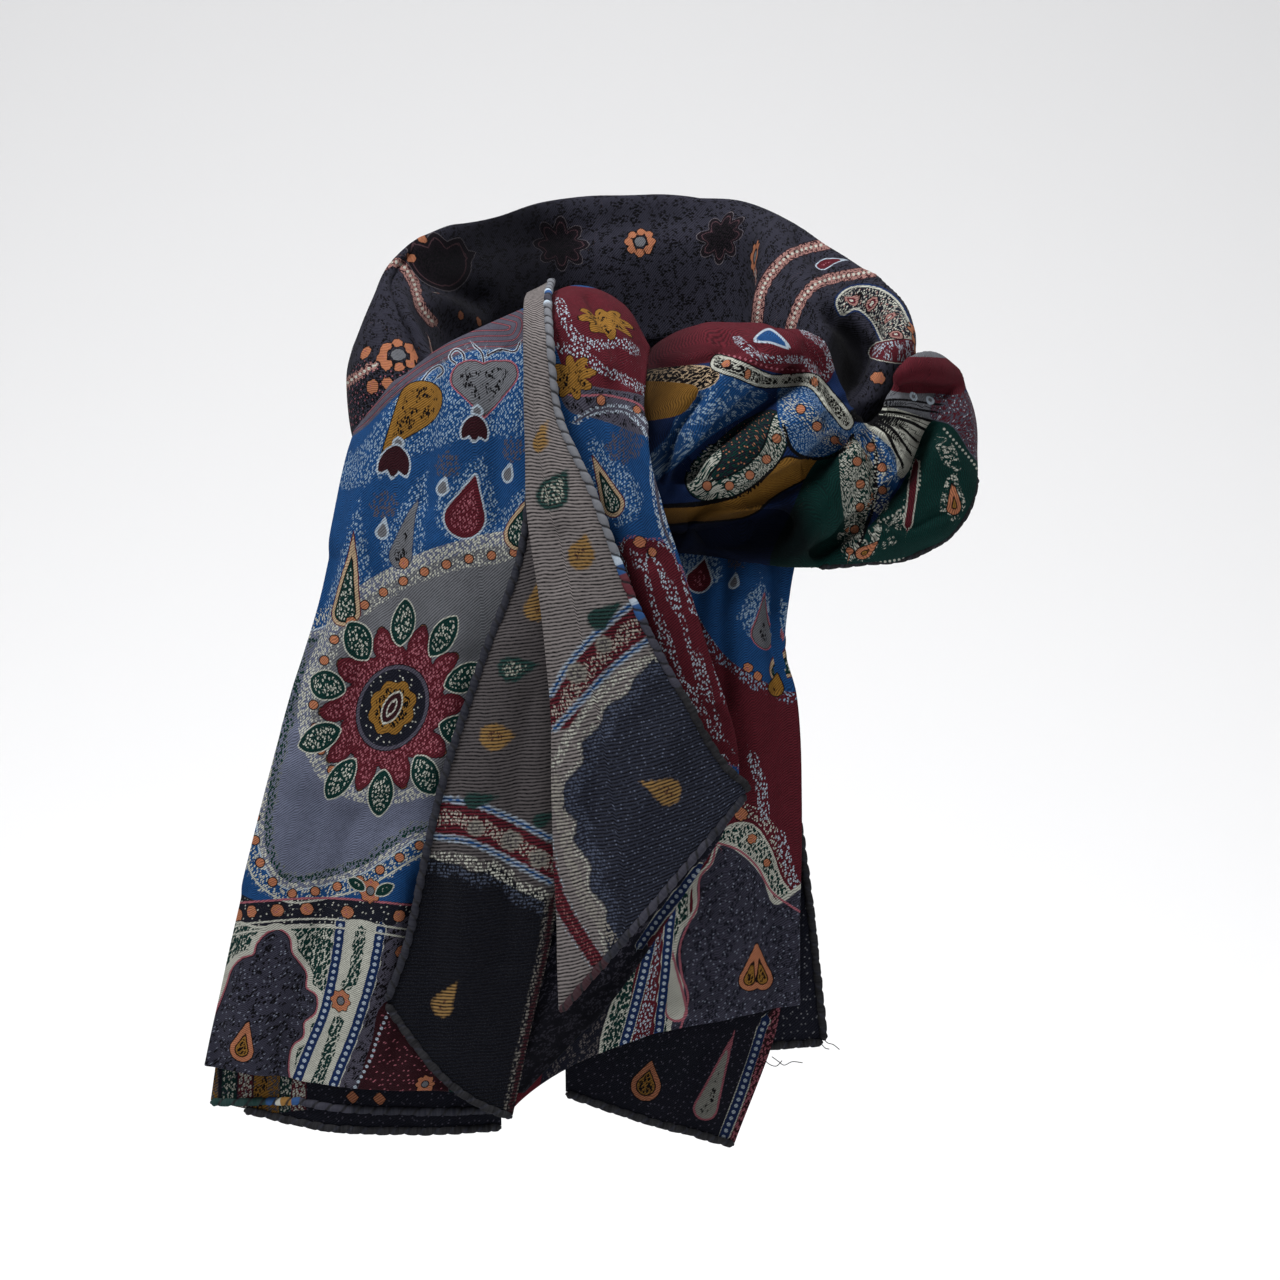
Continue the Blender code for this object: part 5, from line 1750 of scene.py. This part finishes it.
# Motifs on the hidden side of the band, given in the same way
LOOP_BEHIND = (
    ("orange", "bloom", (0.08, 0.66, 18, 0.25, 0), (0.27, 0.64, 20, 0.25, 0),
     (0.42, 0.84, 20, 0.25, 0), (0.57, 0.66, 20, 0.25, 0), (0.72, 0.84, 20, 0.25, 0),
     (0.25, 0.22, 18, 0.25, 0), (0.50, 0.24, 18, 0.25, 0)),
    ("dark_bloom", "bloom", (0.12, 0.80, 34, 0.4, 0), (0.32, 0.84, 34, 0.4, 20),
     (0.52, 0.83, 34, 0.4, 0), (0.67, 0.66, 34, 0.4, 0), (0.36, 0.26, 30, 0.4, 0),
     (0.62, 0.26, 30, 0.4, 0)),
    ("maroon", "drop", (0.17, 0.60, 24, 14, 20), (0.37, 0.66, 26, 14, -15),
     (0.62, 0.84, 26, 14, 10), (0.82, 0.80, 24, 14, -10)),
    ("grey", "heart", (0.22, 0.82, 27, 24, 180), (0.47, 0.64, 27, 24, 180),
     (0.77, 0.66, 27, 24, 180)),
)
# The ribbons behind: where each runs across the band, how far it swings, and over what length
RIBBONS_BEHIND = ((34.0, 7.0), (48.0, 5.0), (-30.0, 8.0), (-58.0, 6.0))
RIBBON_SWING = 55.0

# The stripes of the folded layer, by the place of each across it
STRIPES = (212, 230, 246, 262, 276, 288, 300)
STRIPE_PAINTS = 4

# How far from a line its print reaches, and the lines whose print reaches further
REACH = 3.2
LINE_REACH = {"squares": 5.0, "band": 9.0, "edge_band": 5.5, "green_band": 8.0}

# The enlarged view of the gathered front: its corner in the photograph, and its scale
VIEW_CORNER = (630, 190)
VIEW_SCALE = 4


def in_view(rows):
    """Rows whose places are given in the enlarged view."""
    left, top = VIEW_CORNER
    return [
        (name, *[(left + x / VIEW_SCALE, top + y / VIEW_SCALE) for x, y in places])
        for name, *places in rows
    ]


def lay_print(cloth, areas=(), trims=(), motifs=(), behind=()):
    """Lays areas, lines and motifs on a stretch, by where they show in the photograph. Those
    behind are placed by their share of the way along it and across it."""
    for name, *places in areas:
        cloth.field(name, patch_on(cloth.px, cloth.py, places))
    for name, *places in trims:
        away, along = path_on(cloth.px, cloth.py, places)
        cloth.line(name, away, along, LINE_REACH.get(name, REACH))
    for field, shape, *places in motifs:
        for px, py, *size in places:
            place_motif(cloth, cloth.spot(px, py), field, shape, *size)
    rows, columns = cloth.across.shape
    for field, shape, *places in behind:
        for row, column, *size in places:
            place_motif(cloth, (int(row * rows), int(column * columns)), field, shape, *size)


def more_on_fall(cloth):
    for field, x, y, long, wide, angle in FALL_DROPS:
        lay_print(cloth, motifs=(
            (field, "drop", (x, y, long, wide, angle)),
            ("halo", "drop", (x + 3, y - 8, long * 1.2 + 4, wide + 9, angle)),
        ))
    big_flower(cloth, 393, 708, 28, 1.26)


def more_on_under(cloth):
    for k, x in enumerate(STRIPES):
        stripe = (f"part_{k % STRIPE_PAINTS}", (x - 6, 1050), (x + 6, 1050), (x + 4, 1160), (x - 8, 1160))
        lay_print(cloth, areas=(stripe,))
    lay_print(cloth, behind=BACK_MOTIFS)


def more_on_loop(cloth):
    lay_print(cloth, behind=LOOP_BEHIND)
    behind = cloth.out[..., 1] > -0.15
    for at, swing in RIBBONS_BEHIND:
        away = cloth.across - at - swing * np.sin(cloth.down / RIBBON_SWING)
        cloth.line("ribbon", np.where(behind, away, 1e3), cloth.down, REACH)


PRINTS = {
    # ground, coats, what else is laid on, areas, trims, motifs
    "neck_loop": (CHARCOAL, LOOP_COATS, more_on_loop, LOOP_AREAS, LOOP_TRIMS, LOOP_MOTIFS),
    "front_wrap": (DEEP_BLUE, WRAP_COATS, None, in_view(WRAP_AREAS), in_view(WRAP_TRIMS), WRAP_MOTIFS),
    "tail_back": (MAROON, BACK_COATS, None, BACK_AREAS, (), (), BACK_MOTIFS),
    "tail_corner": (NAVY, CORNER_COATS, None, CORNER_AREAS, CORNER_TRIMS, CORNER_MOTIFS),
    "tail": (MAROON, TAIL_COATS, None, TAIL_AREAS, TAIL_TRIMS, TAIL_MOTIFS),
    "fall_under_layer": (NAVY, UNDER_COATS, more_on_under, UNDER_AREAS, (), UNDER_MOTIFS),
    "fall": (BLUE, FALL_COATS, more_on_fall, FALL_AREAS, FALL_TRIMS, FALL_MOTIFS),
    # Its ground is painted shade: darker than the flap's TAUPE, for the flap's shadow over it
    "flap_under_half": (
        DARK_TAUPE, FLAP_UNDER_COATS, None, FLAP_UNDER_AREAS, FLAP_UNDER_TRIMS, FLAP_UNDER_MOTIFS,
    ),
    "flap": (TAUPE, FLAP_COATS, None, FLAP_AREAS, FLAP_TRIMS, FLAP_MOTIFS),
}

# Creases by stretch: the places of a line in the photograph's pixels, then its half width and
# its rise in millimetres
CREASES = {
    "front_wrap": (
        ((805, 350), (735, 366), (682, 428), 9, 3.5),
        ((792, 374), (745, 412), (684, 474), 3.6, -10),
        ((846, 416), (790, 430), (716, 466), 8, 4.5),
        ((846, 436), (790, 480), (690, 516), 4, -11),
        ((680, 548), (730, 538), (775, 524), 9, -16),
        ((850, 450), (836, 500), (822, 548), 7, 4.5),
        ((926, 432), (900, 482), (818, 552), 3.6, -11),
        ((868, 408), (900, 412), (934, 424), 1.7, -3.2),
        ((868, 414), (896, 424), (926, 440), 1.6, -3),
        ((868, 420), (892, 434), (918, 456), 1.6, -3),
        ((866, 426), (886, 444), (908, 470), 1.7, -3.2),
        ((864, 432), (880, 456), (898, 484), 2, -3.4),
        ((860, 436), (868, 470), (866, 520), 2.4, -3.2),
        ((896, 388), (920, 386), (945, 392), 2.8, -5),
        ((896, 372), (922, 368), (948, 378), 7, 3.5),
        ((862, 404), (842, 410), (820, 422), 1.8, -3),
        ((868, 396), (850, 400), (830, 404), 1.8, -3),
        ((858, 412), (840, 424), (826, 440), 1.8, -2.6),
        ((942, 450), (960, 490), (940, 530), 10, 4),
        ((880, 520), (910, 526), (940, 512), 2.4, -2.8),
        ((700, 400), (672, 440), (660, 480), 2.8, -4),
        ((740, 500), (716, 512), (690, 516), 2.2, 2.4),
        ((760, 350), (700, 362), (660, 366), 2.6, -3),
        ((720, 424), (690, 460), (668, 490), 2.4, -2.6),
        ((836, 420), (828, 380), (806, 350), 2.6, -3.4),
    ),
    "neck_loop": (
        ((392, 262), (396, 300), (410, 345), (426, 396), 6, -7),
        ((372, 262), (366, 310), (372, 380), 9, 4),
        ((416, 312), (440, 304), (470, 324), 7, 5),
        ((408, 248), (430, 280), (480, 300), 6, -5),
        ((450, 232), (480, 262), (500, 300), 9, 2.5),
        ((770, 240), (800, 290), (836, 330), 9, 3.2),
        ((800, 240), (840, 285), (876, 330), 3.5, -4.5),
        ((846, 304), (870, 288), (894, 312), (898, 344), (890, 376), (870, 400), 7, 5),
        ((834, 316), (852, 334), (862, 356), (852, 384), 5.5, -11),
        ((700, 215), (620, 222), (540, 240), 8, -3),
    ),
    "fall": (
        ((402, 392), (376, 470), (356, 560), (342, 660), 9, 5),
        ((432, 372), (428, 430), (424, 500), 5.5, -3),
        ((455, 362), (452, 440), (440, 540), 8, 3.6),
        ((496, 345), (494, 430), (498, 520), 6, -4),
        ((330, 560), (312, 640), (300, 720), 6, -4),
        ((316, 700), (296, 800), (268, 900), (240, 1040), 11, 5),
        ((350, 820), (322, 910), (296, 1000), (280, 1088), 6.5, -5),
        ((400, 850), (374, 950), (346, 1080), 9, 4.4),
        ((240, 900), (226, 980), (214, 1060), 5, -3.4),
        ((420, 880), (410, 960), (396, 1060), 5, -3.4),
        ((440, 560), (452, 660), (430, 780), 11, 3),
        ((360, 560), (420, 640), (470, 660), 6, -2),
        ((300, 770), (360, 790), (440, 760), 7, 2),
        ((640, 430), (664, 520), (690, 620), (720, 700), 6, 3.4),
        ((612, 380), (630, 470), (652, 560), 4.4, -4),
        ((560, 300), (572, 340), (596, 400), 4, 2.4),
        ((590, 296), (606, 330), (628, 380), 3, -3.4),
        ((605, 540), (640, 640), (700, 745), 3.6, -4),
        ((700, 880), (650, 950), (590, 1020), 5, 3),
        ((385, 260), (410, 300), (520, 330), 2, 0.8),
    ),
    "flap": (
        ((548, 330), (545, 420), (556, 520), 3.5, 1.6),
        ((560, 540), (590, 620), (640, 720), 7, -2),
        ((560, 600), (572, 700), (580, 800), 5, 2.4),
        ((690, 700), (650, 790), (610, 880), 8, 2.6),
        ((620, 640), (600, 730), (588, 840), 7, -2.4),
        ((650, 660), (680, 740), (700, 790), 4, -1.6),
    ),
    "flap_under_half": (
        ((512, 640), (486, 760), (470, 880), (462, 1000), 8, 2.4),
        ((528, 700), (516, 820), (506, 960), 6, -2.4),
        ((440, 880), (430, 960), (430, 1040), 6, -2),
        ((452, 880), (480, 980), (500, 1080), 5, 1.6),
    ),
    "tail": (
        ((745, 570), (742, 650), (752, 740), (760, 820), 8, 3.4),
        ((772, 560), (770, 620), (778, 690), 3.6, -4),
        ((700, 560), (690, 640), (660, 740), 7, -3),
        ((728, 560), (722, 620), (726, 700), 4, -2.4),
        ((720, 790), (730, 880), (728, 960), (716, 1030), 9, 3),
        ((770, 860), (768, 930), (774, 1010), 6, -3),
        ((690, 880), (670, 960), (650, 1030), 6, -3),
        ((680, 1010), (730, 1006), (790, 996), 6, 2.6),
    ),
    "tail_corner": (
        ((640, 1040), (650, 1080), (652, 1110), 7, 2),
        ((700, 1050), (690, 1090), (690, 1130), 6, -2),
    ),
    "tail_back": (
        ((804, 840), (806, 920), (800, 1020), 4, 1.6),
    ),
    "fall_under_layer": (
        ((260, 1070), (262, 1100), (262, 1130), 8, -2),
        ((330, 1080), (332, 1110), (330, 1130), 9, 2),
        ((400, 1080), (402, 1105), (400, 1130), 8, -1.6),
    ),
}

# Where the hem shows under the gathered front, in the photograph's pixels
WRAP_HEM = (
    (982, 478), (978, 508), (964, 536), (940, 553), (905, 562), (865, 567), (820, 568),
)

# Stray threads at the corner, each a line of points
THREADS = (
    ((89, -123, -343), (91, -124, -345.5), (94, -124, -346.5), (97, -123, -349)),
    ((88, -123, -346), (90, -125, -348), (92, -125, -348.5)),
    ((64, -126, -352), (67, -127, -354), (70, -127, -356), (74, -126, -354.5), (79, -126, -355)),
    ((60, -126, -352), (62, -127, -355), (66, -127, -356.5), (69, -126, -354)),
)

# The colours along a rolled hem, each from a share of its length
FLAP_BANDS = (
    (0.0, GREY), (0.075, WHITE), (0.085, BLUE), (0.095, CHARCOAL), (0.12, WHITE), (0.13, GREY),
    (0.575, WHITE), (0.59, BLUE), (0.605, MAROON), (0.645, WHITE), (0.655, BLUE),
    (0.68, CHARCOAL), (0.8, BLACK),
)
FOOT_BANDS = ((0.0, NAVY), (0.2, CHARCOAL), (0.62, NAVY), (0.75, DARK_MAROON))
UNDER_BANDS = (
    (0.0, GREEN), (0.2, BLUE), (0.235, CREAM), (0.255, OCHRE), (0.29, BLUE), (0.32, CHARCOAL),
    (0.5, NAVY),
)
NAVY_BAND = ((0.0, NAVY),)
BLACK_BAND = ((0.0, BLACK),)

# The floor, in metres: its level, where it starts to curve up, the curve's radius, its top and its
# half width. Then the room's light, and the place, size and power of each lamp.
FLOOR_LEVEL = -0.66
FLOOR_FRONT = -3.0
SWEEP_START = 0.15
SWEEP = 2.4
SWEEP_STEPS = 40
WALL_TOP = 3.2
FLOOR_HALF_WIDTH = 3.5
PALE = (0.86, 0.86, 0.87, 1.0)
ROOM_LIGHT = 0.22
LAMPS = (
    ("key", (-1.0, -0.9, 1.7), 0.7, 52.0),
    ("fill", (1.6, -1.6, 0.5), 1.4, 10.0),
    ("top", (0.3, -0.1, 1.9), 0.9, 36.0),
)
LIT_PLACE = (0.0, -0.15, -0.15)


def edge_of(points, edge):
    """The line of an edge of a grid of points, and the way out of the cloth there."""
    if edge == "fold":
        rise = np.clip(np.linspace(0, 1, points.shape[1])[:, None] / 0.3, 0, 1)
        return points[-1] * (1 - rise) + points[-7] * rise, points[-1] - points[-3]
    if edge == "right":
        return points[:, -1], points[:, -1] - points[:, -3]
    if edge == "left":
        return points[:, 0], points[:, 0] - points[:, 2]
    return points[-1], points[-1] - points[-3]


def hem(name, node, points, edge, bands, thread, start=0.0):
    """A rolled hem along an edge, from a share of its length."""
    line, outward = edge_of(points, edge)
    first = int(start * (len(line) - 1))
    line, outward = line[first:], outward[first:]
    outward = unit(outward)
    line = line + outward * ROPE_RADIUS * HEM_OUT - np.array([0.0, ROPE_RADIUS * HEM_FORWARD, 0.0])
    return rope(name, line, outward, ROPE_RADIUS, bands, thread)


def wrap_hem(wrap):
    """The thinner hem that shows under the gathered front."""
    seen = np.array([wrap.points[wrap.spot(x, y)] for x, y in WRAP_HEM])
    line = smooth_points(seen, WRAP_HEM_STEPS)
    outward = line - line.mean(axis=0)
    return rope("wrap_hem", line, outward, WRAP_HEM_RADIUS, BLACK_BAND, NAVY)


def shaped(name, points, seed, height, panel=True):
    """A stretch with its soft waves and its creases."""
    return crease(ripple(points, seed, height), CREASES[name], panel)


def main():
    # Each stretch has its rows and columns, then the seed and the height of its waves
    loop = shaped("neck_loop", loop_surface(300, 96), 3, 0.8, panel=False)
    wrap = shaped("front_wrap", wrap_surface(270, 150), 4, 0.3, panel=False)
    back = shaped("tail_back", panel_surface(TAIL_BACK, 150, 36), 5, 0.6)
    corner = shaped("tail_corner", panel_surface(TAIL_CORNER, 150, 60), 6, 0.7)
    corner = lay_over(corner, [back])
    tail = shaped("tail", panel_surface(TAIL, 230, 90, TAIL_SAG, TAIL_SAG_AT), 7, 0.9)
    tail = lay_over(tail, [back, corner])
    under = shaped("fall_under_layer", panel_surface(UNDER, 150, 44, UNDER_SAG), 8, 0.6)
    fall = shaped("fall", fall_surface(280, 132), 9, 0.9)
    fall = lay_over(fall, [under, wrap, tail], HEAD_LAID_FROM)
    half = panel_surface(FLAP_UNDER, 230, 60, FLAP_UNDER_SAG)
    half = lay_over(shaped("flap_under_half", half, 10, 0.7), [fall])
    flap = shaped("flap", panel_surface(FLAP, 250, 60), 11, 0.7)
    flap = lay_over(flap, [fall, half])

    cloths = (
        Cloth("neck_loop", loop),
        Cloth("front_wrap", wrap),
        Cloth("tail_back", back, True),
        Cloth("tail_corner", corner, True),
        Cloth("tail", turn_under(turn_under(tail, "left"), "right"), True),
        Cloth("fall_under_layer", under, True),
        Cloth("fall", turn_under(turn_under(turn_under(fall, "left"), "right"), "foot"), True),
        Cloth("flap_under_half", half, True),
        Cloth("flap", turn_under(flap, "left"), True),
    )
    pieces = {}
    for cloth in cloths:
        ground, coats, more, *rows = PRINTS[cloth.name]
        lay_print(cloth, *rows)
        if more:
            more(cloth)
        material = cloth_material(cloth, ground, coats, cloth.name.startswith("flap"))
        pieces[cloth.name] = cloth_piece(cloth, material)

    hems = {name: [] for name in pieces}
    for name, node, *kind in (
        ("flap_hem", "flap", flap, "right", FLAP_BANDS, BLACK),
        ("flap_foot_hem", "flap", flap[:, ::-1], "foot", FOOT_BANDS, BLACK),
        ("flap_under_hem", "flap_under_half", half, "left", NAVY_BAND, BLACK),
        ("flap_under_foot_hem", "flap_under_half", half, "foot", BLACK_BAND, NAVY),
        ("tail_corner_hem", "tail_corner", corner, "foot", BLACK_BAND, NAVY),
        ("tail_back_hem", "tail_back", back, "right", BLACK_BAND, NAVY),
        ("tail_back_foot_hem", "tail_back", back, "foot", BLACK_BAND, NAVY),
        ("under_hem", "fall_under_layer", under, "foot", BLACK_BAND, NAVY, 0.12),
        ("under_upper_hem", "fall_under_layer", under, "fold", UNDER_BANDS, BLACK),
    ):
        hems[node].append(hem(name, node, *kind))
    hems["front_wrap"].append(wrap_hem(cloths[1]))
    for k, points in enumerate(THREADS):
        hems["tail_back"].append(stray_thread(f"stray_thread_{k}", points))
    stage()


def floor_mesh():
    """A pale floor that curves up behind."""
    line = [(FLOOR_FRONT, FLOOR_LEVEL), (SWEEP_START, FLOOR_LEVEL)]
    for way in np.radians(np.linspace(0, 90, SWEEP_STEPS)[1:]):
        rise = SWEEP - math.cos(way) * SWEEP
        line.append((SWEEP_START + math.sin(way) * SWEEP, FLOOR_LEVEL + rise))
    line.append((SWEEP_START + SWEEP, WALL_TOP))
    body = bmesh.new()
    left, right = (
        [body.verts.new((x, y, z)) for y, z in line] for x in (-FLOOR_HALF_WIDTH, FLOOR_HALF_WIDTH)
    )
    for a, b, c, d in zip(left[:-1], left[1:], right[1:], right[:-1]):
        body.faces.new((a, d, c, b))
    bmesh.ops.recalc_face_normals(body, faces=body.faces)
    mesh = bpy.data.meshes.new("floor")
    body.to_mesh(mesh)
    body.free()
    return mesh


def stage():
    """The floor, soft lights, and the camera."""
    floor = placed("floor", floor_mesh(), plain_material("floor", PALE, ROUGH))

    world = bpy.data.worlds.new("room")
    world.use_nodes = True
    light = world.node_tree.nodes["Background"].inputs
    light[0].default_value = (1.0, 1.0, 1.0, 1.0)
    light[1].default_value = ROOM_LIGHT
    bpy.context.scene.world = world

    for name, place, size, power in LAMPS:
        data = bpy.data.lights.new(name, "AREA")
        data.energy = power
        data.size = size
        lamp = bpy.data.objects.new(name, data)
        lamp.location = place
        aim = Vector(LIT_PLACE) - Vector(place)
        lamp.rotation_euler = aim.to_track_quat("-Z", "Y").to_euler()
        bpy.context.scene.collection.objects.link(lamp)

    tilt = math.radians(TILT)
    ahead = Vector((0.0, math.cos(tilt), -math.sin(tilt)))
    data = bpy.data.cameras.new("camera")
    data.sensor_width = SENSOR
    data.lens = SENSOR * DISTANCE / (PIXEL * PIXELS)
    camera = bpy.data.objects.new("camera", data)
    target = Vector([v - n for v, n in zip(LOOK_AT, NAPE)]) * METRES
    camera.location = target - ahead * DISTANCE * METRES
    camera.rotation_euler = ahead.to_track_quat("-Z", "Y").to_euler()
    bpy.context.scene.collection.objects.link(camera)
    bpy.context.scene.camera = camera
    bpy.context.scene.view_settings.view_transform = "Standard"


main()
